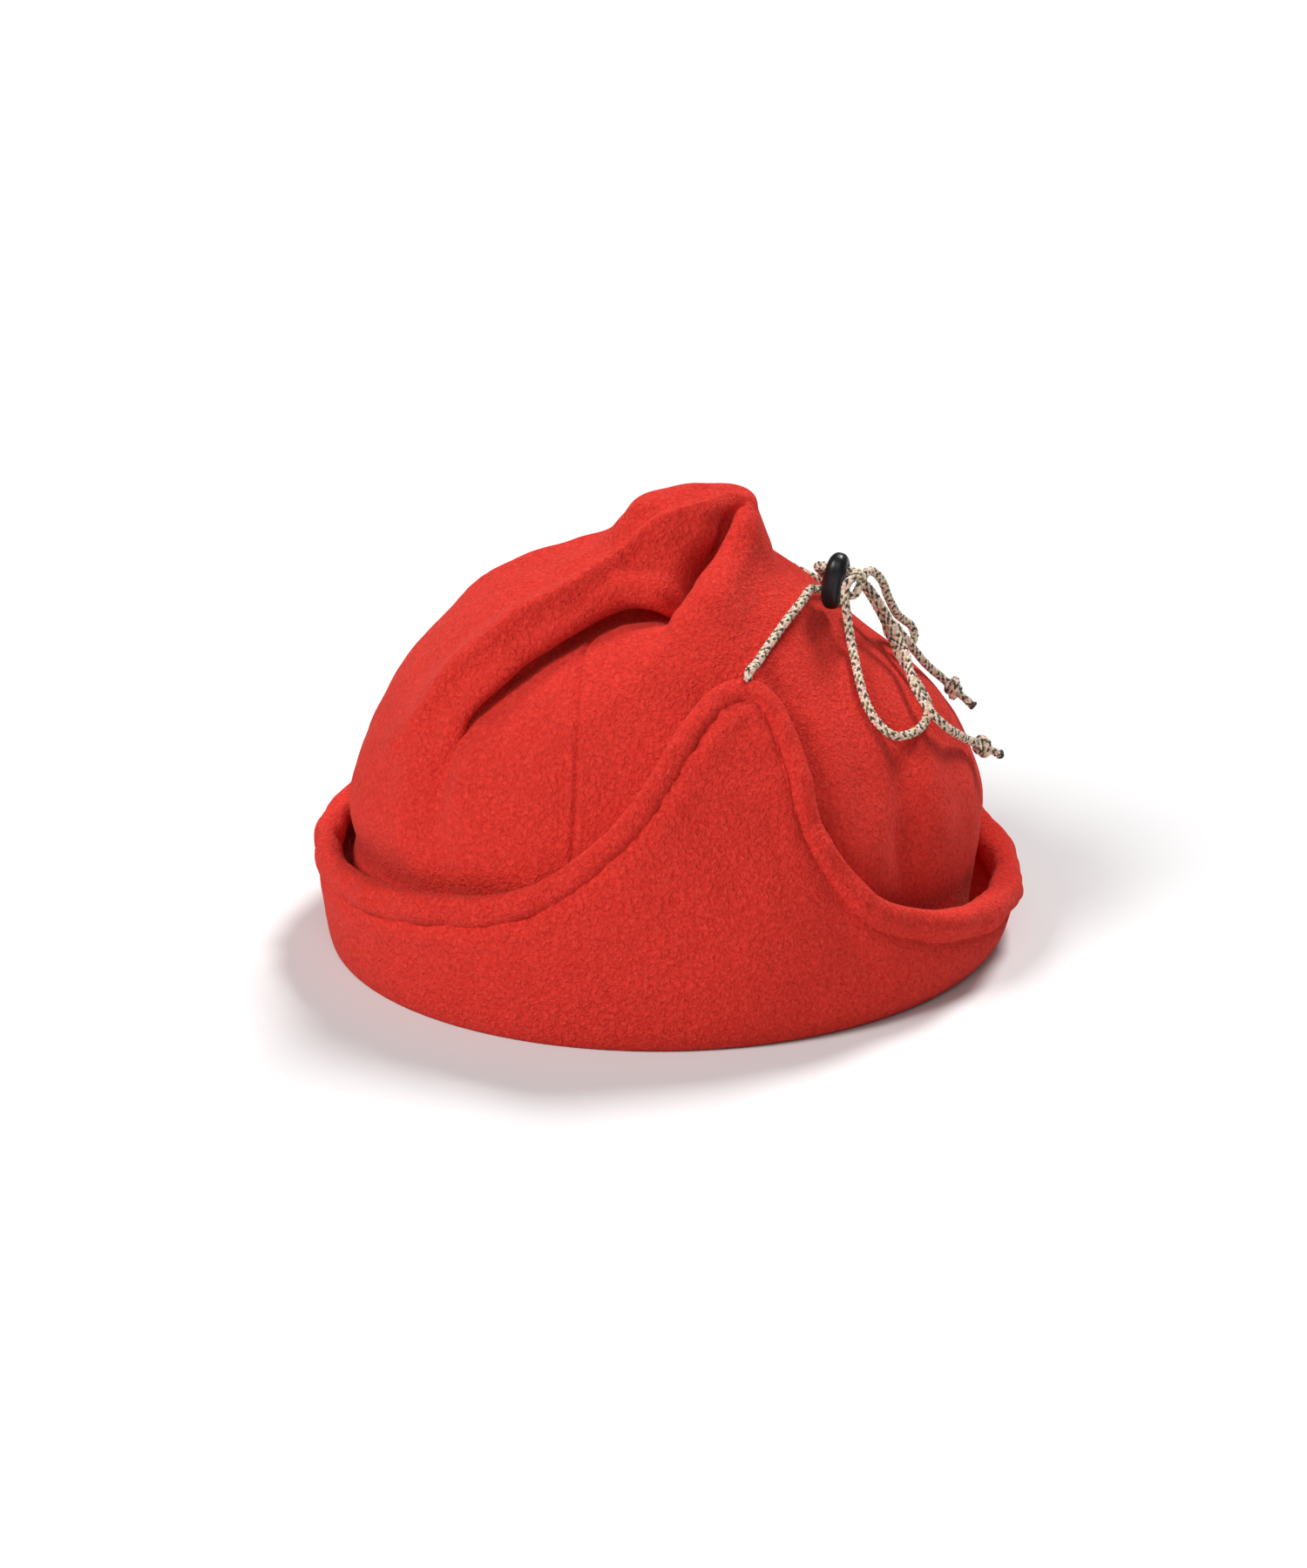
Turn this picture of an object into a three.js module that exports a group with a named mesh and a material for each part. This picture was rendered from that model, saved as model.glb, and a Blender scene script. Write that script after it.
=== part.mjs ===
// A fleece beanie with ear flaps, standing on its turned-up edge, the flaps tied over the back.
// Millimetres, +Z up, front of the cap toward -Y, the wearer's left (the near flap) toward +X.
import * as THREE from "three";

// Driving sizes
const FLEECE = 3;
const GAP = 0.3;
const TURN_RADIUS = 4;
const TURN_UNDER = 18;
const CORD_RADIUS = 1.5;
const LOCK_HALF_WIDTH = 5.3;
const LOCK_HALF_HEIGHT = 8.6;
const LOCK_DEPTH = 7;
const LOCK_BEVEL = 0.9;
const LOCK_HOLE_RADIUS = 2.3;
const LOCK_HOLE_HEIGHT = 3.8;
const LOCK_PLACE = [23.5, 45.1, 114.9];
const LOCK_LEAN = 9;
const LOCK_TURN = 25;

// Steps for measuring slopes: in share of the crown's rise, in degrees and in millimetres
const RISE_STEP = 0.01;
const ANGLE_STEP = 1;
const HEIGHT_STEP = 1;

// Mesh fineness
const CUFF_COLUMNS = 44;
const CUFF_LEVELS = 4;
const HEM_SIDES = 8;
const CORD_SIDES = 8;
const CORD_STEP = 6;
const KNOT_SIDES = 10;
const FOLD_STEPS = 80;
const FOLD_BLEND = 6;
const LOCK_SEGMENTS = 8;
const LOCK_BEVEL_STEPS = 2;
const CROWN_ANGLES = [
  { from: -118, to: -62, steps: 7 },
  { from: -62, to: 30, steps: 20 },
  { from: 30, to: 150, steps: 17 },
  { from: 150, to: 242, steps: 20 },
];
const CROWN_RISES = [
  { from: 0, to: 0.2, steps: 2 },
  { from: 0.2, to: 0.9, steps: 17 },
  { from: 0.9, to: 1, steps: 3 },
];

// The crown without its folds, a row for each level from the lower edge to the summit:
// front and back are where the level meets the centre plane, half is its half width.
const CROWN_ROWS = [
  { z: FLEECE + GAP, front: -98, back: 91, half: 91 },
  { z: 26, front: -97.5, back: 93, half: 88.5 },
  { z: 50, front: -96.5, back: 94, half: 88 },
  { z: 73, front: -86, back: 81.5, half: 78 },
  { z: 93, front: -70.5, back: 59.5, half: 62 },
  { z: 107.5, front: -54, back: 44.5, half: 47 },
  { z: 115.5, front: -34, back: 33, half: 33 },
  { z: 121.5, front: -21.5, back: 30, half: 22.5 },
  { z: 130, front: -14.5, back: 26.8, half: 16 },
  { z: 136.5, front: -8, back: 24, half: 11 },
  { z: 141, front: 10, back: 10, half: 0 },
];

// How the cloth runs across a fold, from its upper side to its lower: at is the place on the
// unfolded crown and side where that cloth goes, both in fold widths, and out is how far it
// stands out of the crown, in fold depths.
const PLEAT_PROFILE = [
  { at: -3.5, side: -3.5, out: 0 },
  { at: -2.6, side: -2.3, out: 0.08 },
  { at: -1.8, side: -1.1, out: 0.26 },
  { at: -1.2, side: -0.1, out: 0.38 },
  { at: -0.6, side: 0.9, out: 0.15 },
  { at: -0.2, side: 1.2, out: -0.3 },
  { at: 0.2, side: 0.75, out: -0.72 },
  { at: 0.6, side: 0.75, out: -1 },
  { at: 1.2, side: 1.4, out: -0.85 },
  { at: 2, side: 2.1, out: -0.35 },
  { at: 2.8, side: 2.8, out: -0.06 },
  { at: 3.5, side: 3.5, out: 0 },
];
const GATHER_PROFILE = [
  { at: -3, side: -3, out: 0 },
  { at: -1.6, side: -1.6, out: 0.25 },
  { at: -0.8, side: -0.8, out: -0.3 },
  { at: 0, side: 0, out: -1 },
  { at: 0.8, side: 0.8, out: -0.3 },
  { at: 1.6, side: 1.6, out: 0.25 },
  { at: 3, side: 3, out: 0 },
];

// The folds of the near half, each along stations on the crown: angle 0 is the near side, -90 the
// front and 90 the back, and rise runs from 0 at the lower edge to 1 at the summit. hang is the
// share of the profile's sideways overhang.
const TOP_PLEAT = [
  { angle: 70, rise: 0.88, width: 3.5, depth: 0, hang: 0 },
  { angle: 48, rise: 0.82, width: 4, depth: 5, hang: 0.6 },
  { angle: 31, rise: 0.707, width: 5, depth: 10, hang: 1 },
  { angle: 15, rise: 0.6, width: 6, depth: 12, hang: 1 },
  { angle: 1, rise: 0.544, width: 6, depth: 10, hang: 0.8 },
  { angle: -12, rise: 0.5, width: 7, depth: 4, hang: 0.4 },
  { angle: -20, rise: 0.46, width: 7, depth: 0, hang: 0 },
];
const LIP_PLEAT = [
  { angle: 12, rise: 0.645, width: 6, depth: 0, hang: 0 },
  { angle: -5, rise: 0.64, width: 6.5, depth: 7, hang: 0.5 },
  { angle: -30, rise: 0.645, width: 7, depth: 13, hang: 0.9 },
  { angle: -46, rise: 0.59, width: 8, depth: 15, hang: 1 },
  { angle: -54, rise: 0.515, width: 8, depth: 15, hang: 1 },
  { angle: -61, rise: 0.435, width: 8, depth: 14, hang: 1 },
  { angle: -66, rise: 0.37, width: 8, depth: 10, hang: 0.8 },
  { angle: -69, rise: 0.32, width: 8, depth: 4, hang: 0.3 },
  { angle: -69, rise: 0.27, width: 8, depth: 0, hang: 0 },
];
const REAR_CREASE = [
  { angle: 77, rise: 0.72, width: 5, depth: 0, hang: 0 },
  { angle: 50, rise: 0.625, width: 6, depth: 3, hang: 0 },
  { angle: 33, rise: 0.53, width: 7, depth: 3, hang: 0 },
  { angle: 21, rise: 0.44, width: 8, depth: 0, hang: 0 },
];
const REAR_GATHER = [
  { angle: 60, rise: 0.41, width: 9, depth: 0, hang: 0 },
  { angle: 48, rise: 0.37, width: 10, depth: 1, hang: 0 },
  { angle: 38, rise: 0.32, width: 10, depth: 1.8, hang: 0 },
  { angle: 30, rise: 0.23, width: 10, depth: 1.5, hang: 0 },
  { angle: 28, rise: 0.17, width: 10, depth: 0, hang: 0 },
];
const LOW_GATHER = [
  { angle: 50, rise: 0.34, width: 9, depth: 0, hang: 0 },
  { angle: 47, rise: 0.28, width: 9, depth: 1.2, hang: 0 },
  { angle: 43, rise: 0.22, width: 9, depth: 2, hang: 0 },
  { angle: 41, rise: 0.15, width: 9, depth: 0, hang: 0 },
];

// The cuff's outer face, a row for each level as in the crown's rows
const CUFF_ROWS = [
  { z: 0, front: -105, back: 104.4, half: 98.5 },
  { z: 15, front: -106, back: 105.6, half: 98.5 },
  { z: 30, front: -106, back: 106.5, half: 97.5 },
  { z: 50, front: -102, back: 101, half: 94.5 },
  { z: 73, front: -92, back: 88, half: 85.5 },
  { z: 93, front: -79, back: 68, half: 72 },
  { z: 110, front: -62, back: 52, half: 56 },
];

// The cuff's upper edge round the near half, front to back, where the hem is stitched on: a column
// of cloth leaves the floor at one angle, its base, and bends up to meet the edge at another. The
// far half mirrors it, but far is its height there. tall and thick are the hem's section, and proud
// is how far it stands out of the cuff's outer face.
const RIM_ROWS = [
  { base: -90, angle: -90, height: 24.3, far: 24.3, tall: 9, thick: 8, proud: 2.8 },
  { base: -77, angle: -77, height: 25, far: 24.4, tall: 9, thick: 8, proud: 2.8 },
  { base: -64, angle: -63, height: 27.3, far: 25, tall: 9, thick: 8, proud: 2.8 },
  { base: -51, angle: -50, height: 31, far: 26.5, tall: 8.6, thick: 7.5, proud: 2.6 },
  { base: -41, angle: -39, height: 35.3, far: 29.5, tall: 8, thick: 7, proud: 2.2 },
  { base: -32, angle: -30, height: 42, far: 37, tall: 7.4, thick: 6.4, proud: 1.9 },
  { base: -24, angle: -22, height: 52.5, far: 50, tall: 6.9, thick: 6, proud: 1.7 },
  { base: -17, angle: -15, height: 64, far: 63.5, tall: 6.5, thick: 5.6, proud: 1.6 },
  { base: -10, angle: -8, height: 77, far: 77, tall: 6.3, thick: 5.5, proud: 1.5 },
  { base: -3, angle: -1, height: 87.5, far: 87.5, tall: 6.3, thick: 5.5, proud: 1.5 },
  { base: 2, angle: 6.5, height: 94.6, far: 94.6, tall: 6.3, thick: 5.5, proud: 1.5 },
  { base: 6, angle: 12.5, height: 96.2, far: 96.2, tall: 6.3, thick: 5.5, proud: 1.5 },
  { base: 8, angle: 16, height: 93.6, far: 93.6, tall: 6.3, thick: 5.5, proud: 1.5 },
  { base: 10, angle: 16.6, height: 86.5, far: 86.5, tall: 6.3, thick: 5.5, proud: 1.5 },
  { base: 12, angle: 15.4, height: 78, far: 78, tall: 6.3, thick: 5.5, proud: 1.5 },
  { base: 14.5, angle: 14.4, height: 67, far: 67, tall: 6.5, thick: 5.6, proud: 1.6 },
  { base: 18, angle: 15.5, height: 56, far: 56, tall: 6.9, thick: 5.8, proud: 1.7 },
  { base: 23, angle: 18.7, height: 44.5, far: 45.3, tall: 7.4, thick: 6.2, proud: 1.9 },
  { base: 28.5, angle: 23.3, height: 33.5, far: 35.6, tall: 8, thick: 6.8, proud: 2.2 },
  { base: 36, angle: 31, height: 25.5, far: 28.6, tall: 8.6, thick: 7.5, proud: 2.5 },
  { base: 47, angle: 43.5, height: 18, far: 21.8, tall: 9.2, thick: 8.5, proud: 3 },
  { base: 61, angle: 59, height: 13.5, far: 17, tall: 9.5, thick: 9.2, proud: 3.4 },
  { base: 75, angle: 74, height: 11.5, far: 13.5, tall: 9.5, thick: 9.5, proud: 3.5 },
  { base: 90, angle: 90, height: 11, far: 11, tall: 9.5, thick: 9.5, proud: 3.5 },
];

// The cords' centre lines: from a flap's tip over the crown, through the lock, then a loop and back
// to the bow, and down to the knotted end
const NEAR_ROUTE = [
  [62.6, 11.5, 101.9], [55.2, 15.2, 101.9], [48.1, 19.6, 103.9], [42.5, 23.9, 106.4],
  [37, 28.3, 108.9], [30.4, 33.4, 111.2], [25.2, 36.4, 112.2], [22, 38.4, 112.4],
  [21.5, 41, 111.8], [23.3, 44.6, 111.2], [24.8, 48, 110.6], [25.2, 50.6, 110.9],
  [23.4, 52.6, 113.2], [19.8, 54.8, 115.2], [15.8, 57.8, 114.8], [12.6, 61.6, 110.8],
  [8.6, 64.4, 104.8], [3.6, 67.6, 98.8], [-0.6, 70.2, 94.8], [-3.6, 73, 92],
  [-5.8, 75.8, 89.2], [-6, 76.8, 86], [-3.4, 75, 84.4], [0.4, 72.6, 85.4],
  [3.4, 69.8, 87.4], [5.2, 67.2, 89.4], [6.2, 65.4, 92.2], [8, 64.6, 95.2],
  [10.8, 66, 96], [12.2, 69.2, 92], [10.4, 73, 87], [7, 76.8, 82],
  [4, 80, 78.4], [2.4, 82.9, 75.6], [3, 85.1, 73.6],
];
const FAR_ROUTE = [
  [-62.6, 11.5, 101.9], [-56.8, 16.8, 100.6], [-51, 22.4, 101], [-45.1, 27.4, 103.2],
  [-39.8, 33.8, 104.7], [-34.4, 41, 102.8], [-28.4, 47.4, 100.6], [-21.3, 52.8, 99],
  [-14, 55.4, 98.6], [-7, 55.2, 100.2], [0, 53.4, 103], [6, 50.2, 106.8],
  [11, 46.2, 111.2], [14.9, 42.8, 115.2], [18.2, 40.9, 118], [22, 42, 119.2],
  [23.8, 45.6, 118.6],
  [25.3, 49, 118.1], [26.8, 51, 118.2], [29.2, 51, 118.6], [31.2, 48.9, 118.4],
  [31.8, 46.7, 116.4], [31.6, 46.2, 112.8], [31.2, 46.7, 109], [30.6, 47.6, 104],
  [31.4, 48.3, 98.8], [36.5, 48.4, 94.8], [44.1, 48.3, 90.1], [49.6, 49.3, 85],
  [53.2, 51.8, 80.6], [54.2, 56, 77], [51, 61.2, 75.6], [45.6, 66.3, 75.4],
  [39, 70, 76.4], [33.5, 71.4, 78.8], [29, 70, 82.2], [20.5, 65.8, 89.2],
  [15, 64.4, 94], [10.5, 61.8, 100.2], [8.4, 58.4, 106.2], [10, 55.6, 110.6],
  [13.8, 55.4, 111.2], [16.8, 58.2, 108], [18.4, 61.8, 102], [21.6, 64.8, 96],
  [27, 66.4, 91], [34, 66.6, 86], [39.2, 68.4, 81.8], [42.2, 71.2, 78],
  [41, 75.6, 73.4], [34.5, 81.2, 68.2], [28.6, 85.6, 64.2], [26.6, 88.8, 62],
];

// A stopper knot and its cut tail, by the way along from the cord's end
const KNOT_PROFILE = [
  { along: 0, radius: 0 },
  { along: 0.2, radius: 1.8 },
  { along: 1.8, radius: 3.2 },
  { along: 4.2, radius: 3.2 },
  { along: 6, radius: 1.7 },
  { along: 9, radius: 1.4 },
  { along: 9, radius: 0 },
];

// Every column of a table at a share of the way through its rows, by a smooth curve
function tableAt(rows, share) {
  const place = THREE.MathUtils.clamp(share, 0, 1) * (rows.length - 1);
  const index = Math.min(Math.floor(place), rows.length - 2);
  const u = place - index;
  const values = {};
  for (const column of Object.keys(rows[0])) {
    const [a, b, c, d] = [-1, 0, 1, 2].map((step) => {
      const row = THREE.MathUtils.clamp(index + step, 0, rows.length - 1);
      return rows[row][column];
    });
    const slope = (c - a) * u;
    const bend = (2 * a - 5 * b + 4 * c - d) * u * u;
    const turn = (3 * b - a - 3 * c + d) * u * u * u;
    values[column] = b + 0.5 * (slope + bend + turn);
  }
  return values;
}

// The share of the way through a table at which a rising column reaches a value
function shareAt(rows, column, value) {
  const last = rows.length - 1;
  if (value <= rows[0][column]) return 0;
  if (value >= rows[last][column]) return 1;
  const index = rows.findIndex((row) => row[column] > value) - 1;
  const span = rows[index + 1][column] - rows[index][column];
  return (index + (value - rows[index][column]) / span) / last;
}

// The stations of a table of stretches, each stretch's end being the next one's start
function stations(stretches) {
  return stretches.flatMap(({ from, to, steps }) => (
    Array.from({ length: steps }, (_, i) => from + ((to - from) * i) / steps)
  ));
}

// A point on the oval of one level
function ovalPoint({ z, front, back, half }, angle) {
  const turn = THREE.MathUtils.degToRad(angle);
  const y = (front + back) / 2 + ((back - front) / 2) * Math.sin(turn);
  return new THREE.Vector3(half * Math.cos(turn), y, z);
}

// The crown without its folds
function domePoint(angle, rise) {
  return ovalPoint(tableAt(CROWN_ROWS, rise), angle);
}

function domeNormal(angle, rise) {
  const level = Math.min(rise, 1 - 2 * RISE_STEP);
  const across = domePoint(angle + ANGLE_STEP, level).sub(domePoint(angle - ANGLE_STEP, level));
  const along = domePoint(angle, level + RISE_STEP).sub(domePoint(angle, level - RISE_STEP));
  return across.cross(along).normalize();
}

// A fold's line as short steps, each with its place, its way across and its sizes
function foldLine(rows) {
  const steps = [];
  for (let i = 0; i <= FOLD_STEPS; i += 1) {
    const sizes = tableAt(rows, i / FOLD_STEPS);
    steps.push({ place: domePoint(sizes.angle, sizes.rise), sizes });
  }
  steps.forEach((step, i) => {
    const ahead = steps[Math.min(i + 1, FOLD_STEPS)].place;
    const behind = steps[Math.max(i - 1, 0)].place;
    const along = ahead.clone().sub(behind);
    step.across = domeNormal(step.sizes.angle, step.sizes.rise).cross(along).normalize();
  });
  return steps;
}

// The folds: over is 1 where the upper lip hangs over the lower and -1 where the lower does, and
// far is the share of the fold's size that the far half has
const FOLDS = [
  { line: foldLine(TOP_PLEAT), profile: PLEAT_PROFILE, over: -1, far: 0.8 },
  { line: foldLine(LIP_PLEAT), profile: PLEAT_PROFILE, over: 1, far: 0.3 },
  { line: foldLine(REAR_CREASE), profile: GATHER_PROFILE, over: 1, far: 1 },
  { line: foldLine(REAR_GATHER), profile: GATHER_PROFILE, over: 1, far: 1 },
  { line: foldLine(LOW_GATHER), profile: GATHER_PROFILE, over: 1, far: 1 },
];

// How far a fold moves a point of the crown: the sizes are those of the line's nearest step, and
// the way across is blended over the steps near it
function foldShift({ line, profile, over }, point, normal) {
  const distances = line.map((step) => step.place.distanceTo(point));
  const distance = Math.min(...distances);
  const nearest = line[distances.indexOf(distance)];
  const { width, depth, hang } = nearest.sizes;
  const below = Math.sign(point.clone().sub(nearest.place).dot(nearest.across));
  const at = (over * below * distance) / width;
  if (Math.abs(at) >= profile.at(-1).at) return new THREE.Vector3();
  const across = new THREE.Vector3();
  line.forEach((step, i) => {
    across.addScaledVector(step.across, Math.exp((distance ** 2 - distances[i] ** 2) / FOLD_BLEND ** 2));
  });
  const { side, out } = tableAt(profile, shareAt(profile, "at", at));
  across.setLength(over * hang * width * (side - at));
  return across.addScaledVector(normal, depth * out);
}

// The folded crown: the far half's folds mirror the near half's, but shallower
function crownPoint(angle, rise) {
  const point = domePoint(angle, rise);
  const normal = domeNormal(angle, rise);
  const mirror = new THREE.Vector3(-1, 1, 1);
  const moved = point.clone();
  for (const fold of FOLDS) {
    moved.add(foldShift(fold, point, normal));
    const far = foldShift(fold, point.clone().multiply(mirror), normal.clone().multiply(mirror));
    moved.addScaledVector(far.multiply(mirror), fold.far);
  }
  return moved;
}

// A solid from triangles given as lists of corners
function solid(triangles) {
  const geometry = new THREE.BufferGeometry().setFromPoints(triangles.flat());
  geometry.computeVertexNormals();
  return geometry;
}

// A four-sided patch, split along its shorter diagonal
function quad(a, b, c, d) {
  return a.distanceTo(c) < b.distanceTo(d) ? [[a, b, c], [a, c, d]] : [[a, b, d], [b, c, d]];
}

// A hollow wall from columns of points that run from the lower edge to one shared summit
function capShell(outer, inner) {
  const triangles = [];
  const top = outer[0].length - 1;
  outer.forEach((column, i) => {
    const next = (i + 1) % outer.length;
    for (let j = 0; j < top - 1; j += 1) {
      triangles.push(...quad(column[j], outer[next][j], outer[next][j + 1], column[j + 1]));
      triangles.push(...quad(inner[next][j], inner[i][j], inner[i][j + 1], inner[next][j + 1]));
    }
    triangles.push([column[top - 1], outer[next][top - 1], outer[0][top]]);
    triangles.push([inner[next][top - 1], inner[i][top - 1], inner[0][top]]);
    triangles.push(...quad(inner[i][0], inner[next][0], outer[next][0], column[0]));
  });
  return solid(triangles);
}

// A closed ring from sections that each go round once
function ringSolid(sections) {
  const triangles = [];
  sections.forEach((section, i) => {
    const next = sections[(i + 1) % sections.length];
    section.forEach((point, j) => {
      const after = (j + 1) % section.length;
      triangles.push(...quad(point, next[j], next[after], section[after]));
    });
  });
  return solid(triangles);
}

function buildCrown() {
  const rises = [...stations(CROWN_RISES), 1];
  const top = rises.length - 1;
  const outer = stations(CROWN_ANGLES).map((angle) => rises.map((rise) => crownPoint(angle, rise)));
  const inner = outer.map((column, i) => column.map((point, j) => {
    const before = outer[(i + outer.length - 1) % outer.length];
    const after = outer[(i + 1) % outer.length];
    const across = after[j].clone().sub(before[j]);
    const along = column[Math.min(j + 1, top)].clone().sub(column[Math.max(j - 1, 0)]);
    const inward = along.cross(across);
    if (j === 0) inward.setZ(0);
    if (j === top) inward.set(0, 0, -1);
    inward.normalize();
    return point.clone().addScaledVector(inward, FLEECE);
  }));
  return capShell(outer, inner);
}

// The oval of the cuff's outer face at a height
function cuffLevel(z) {
  return { ...tableAt(CUFF_ROWS, shareAt(CUFF_ROWS, "z", z)), z };
}

// The cuff's outer face at an angle and a height, moved out along its normal
function cuffPoint(angle, z, out = 0) {
  const face = (turn, level) => ovalPoint(cuffLevel(level), turn);
  const across = face(angle + ANGLE_STEP, z).sub(face(angle - ANGLE_STEP, z));
  const along = face(angle, z + HEIGHT_STEP).sub(face(angle, Math.max(z - HEIGHT_STEP, 0)));
  const normal = across.cross(along).normalize();
  return face(angle, z).addScaledVector(normal, out);
}

// The point of the cuff's outer face nearest a place at its height, moved out along its normal
function onCuff(place, out) {
  const { front, back, half } = cuffLevel(place.z);
  const turn = Math.atan2((2 * place.y - front - back) / (back - front), place.x / half);
  return cuffPoint(THREE.MathUtils.radToDeg(turn), place.z, out);
}

// The cuff's columns of cloth all the way round, front to back on the near side and on again
function cuffColumns() {
  const near = [];
  for (let i = 0; i <= CUFF_COLUMNS; i += 1) near.push(tableAt(RIM_ROWS, i / CUFF_COLUMNS));
  const far = near.slice(1, -1).reverse().map((column) => (
    { ...column, base: 180 - column.base, angle: 180 - column.angle, height: column.far }
  ));
  return [...near, ...far];
}

// The cuff: up its outer face, down its inner face, and turned in flat on the floor
function buildCuff() {
  return ringSolid(cuffColumns().map(({ base, angle, height }) => {
    const wall = (out) => Array.from({ length: CUFF_LEVELS + 1 }, (_, i) => {
      const share = i / CUFF_LEVELS;
      const z = THREE.MathUtils.lerp(TURN_RADIUS, height, share);
      return cuffPoint(THREE.MathUtils.lerp(base, angle, share ** 2), z, out);
    });
    const foot = (inset, z) => cuffPoint(base, 0, -inset).setZ(z);
    const corner = TURN_RADIUS * (1 - Math.SQRT1_2);
    return [
      ...wall(0),
      ...wall(-FLEECE).reverse(),
      foot(TURN_RADIUS, FLEECE),
      foot(TURN_UNDER, FLEECE),
      foot(TURN_UNDER, 0),
      foot(TURN_RADIUS, 0),
      foot(corner, corner),
    ];
  }));
}

// The hem: a puffy strip on the cuff's upper edge, its oval section square to the edge
function buildHem() {
  const columns = cuffColumns();
  const rim = columns.map(({ angle, height }) => cuffPoint(angle, height));
  const reach = Math.cos(Math.PI / HEM_SIDES);
  return ringSolid(columns.map(({ angle, height, tall, thick, proud }, i) => {
    const edge = rim[i];
    const ahead = rim[(i + 1) % rim.length];
    const behind = rim[(i + rim.length - 1) % rim.length];
    const along = ahead.clone().sub(behind).normalize();
    const normal = cuffPoint(angle, height, 1).sub(edge);
    const up = normal.cross(along).normalize();
    return Array.from({ length: HEM_SIDES }, (_, k) => {
      const turn = ((k + 0.5) * 2 * Math.PI) / HEM_SIDES;
      const rise = GAP + (tall / 2) * (1 - Math.cos(turn) / reach);
      const out = proud + (thick / 2) * (Math.sin(turn) / reach - 1);
      return onCuff(edge.clone().addScaledVector(up, rise), out);
    });
  }));
}

const routeCurve = (route) => new THREE.CatmullRomCurve3(route.map((at) => new THREE.Vector3(...at)));

// A cord: a round section drawn along its route
function buildCord(route) {
  const curve = routeCurve(route);
  const corners = Array.from({ length: CORD_SIDES }, (_, k) => {
    const turn = (k * 2 * Math.PI) / CORD_SIDES;
    return new THREE.Vector2(CORD_RADIUS * Math.cos(turn), CORD_RADIUS * Math.sin(turn));
  });
  const steps = Math.round(curve.getLength() / CORD_STEP);
  return new THREE.ExtrudeGeometry(new THREE.Shape(corners), { extrudePath: curve, steps });
}

// A knot past the end of a cord's route, in line with it
function buildKnot(route) {
  const points = KNOT_PROFILE.map(({ along, radius }) => new THREE.Vector2(radius, along));
  const curve = routeCurve(route);
  const heading = curve.getTangentAt(1);
  const turn = new THREE.Quaternion().setFromUnitVectors(new THREE.Vector3(0, 1, 0), heading);
  const place = curve.getPointAt(1).addScaledVector(heading, GAP);
  const knot = new THREE.LatheGeometry(points, KNOT_SIDES);
  return knot.applyQuaternion(turn).translate(...place.toArray());
}

// The cord lock: an oval block with two holes, one above the other, standing on the crown
function buildLock() {
  const outline = new THREE.Shape();
  outline.absellipse(0, 0, LOCK_HALF_WIDTH, LOCK_HALF_HEIGHT, 0, 2 * Math.PI);
  for (const height of [-LOCK_HOLE_HEIGHT, LOCK_HOLE_HEIGHT]) {
    const hole = new THREE.Path();
    hole.absarc(0, height, LOCK_HOLE_RADIUS, 0, 2 * Math.PI);
    outline.holes.push(hole);
  }
  const block = new THREE.ExtrudeGeometry(outline, {
    depth: LOCK_DEPTH - 2 * LOCK_BEVEL,
    curveSegments: LOCK_SEGMENTS,
    bevelThickness: LOCK_BEVEL,
    bevelSize: LOCK_BEVEL,
    bevelOffset: -LOCK_BEVEL,
    bevelSegments: LOCK_BEVEL_STEPS,
  });
  block.translate(0, 0, LOCK_BEVEL - LOCK_DEPTH / 2);
  block.rotateX(THREE.MathUtils.degToRad(90 - LOCK_LEAN));
  block.rotateZ(THREE.MathUtils.degToRad(-LOCK_TURN));
  return block.translate(...LOCK_PLACE);
}

const FLEECE_RED = new THREE.MeshStandardMaterial({ color: 0xd43a30, roughness: 0.95, metalness: 0 });
const HEM_RED = new THREE.MeshStandardMaterial({ color: 0xd84033, roughness: 0.95, metalness: 0 });
const CORD_BEIGE = new THREE.MeshStandardMaterial({ color: 0xd9c3a0, roughness: 0.85, metalness: 0 });
const LOCK_BLACK = new THREE.MeshStandardMaterial({ color: 0x17181a, roughness: 0.45, metalness: 0 });

const hat = new THREE.Group();
function addPiece(name, geometry, material) {
  const mesh = new THREE.Mesh(geometry, material);
  mesh.name = name;
  hat.add(mesh);
}
addPiece("crown", buildCrown(), FLEECE_RED);
addPiece("cuff", buildCuff(), FLEECE_RED);
addPiece("hem", buildHem(), HEM_RED);
addPiece("near_cord", buildCord(NEAR_ROUTE), CORD_BEIGE);
addPiece("far_cord", buildCord(FAR_ROUTE), CORD_BEIGE);
addPiece("near_knot", buildKnot(NEAR_ROUTE), CORD_BEIGE);
addPiece("far_knot", buildKnot(FAR_ROUTE), CORD_BEIGE);
addPiece("cord_lock", buildLock(), LOCK_BLACK);

export default hat;
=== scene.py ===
"""Looks of a fleece beanie with ear flaps: folded cloth, a stitched hem, braided cords and a stopper."""

import math

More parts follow.
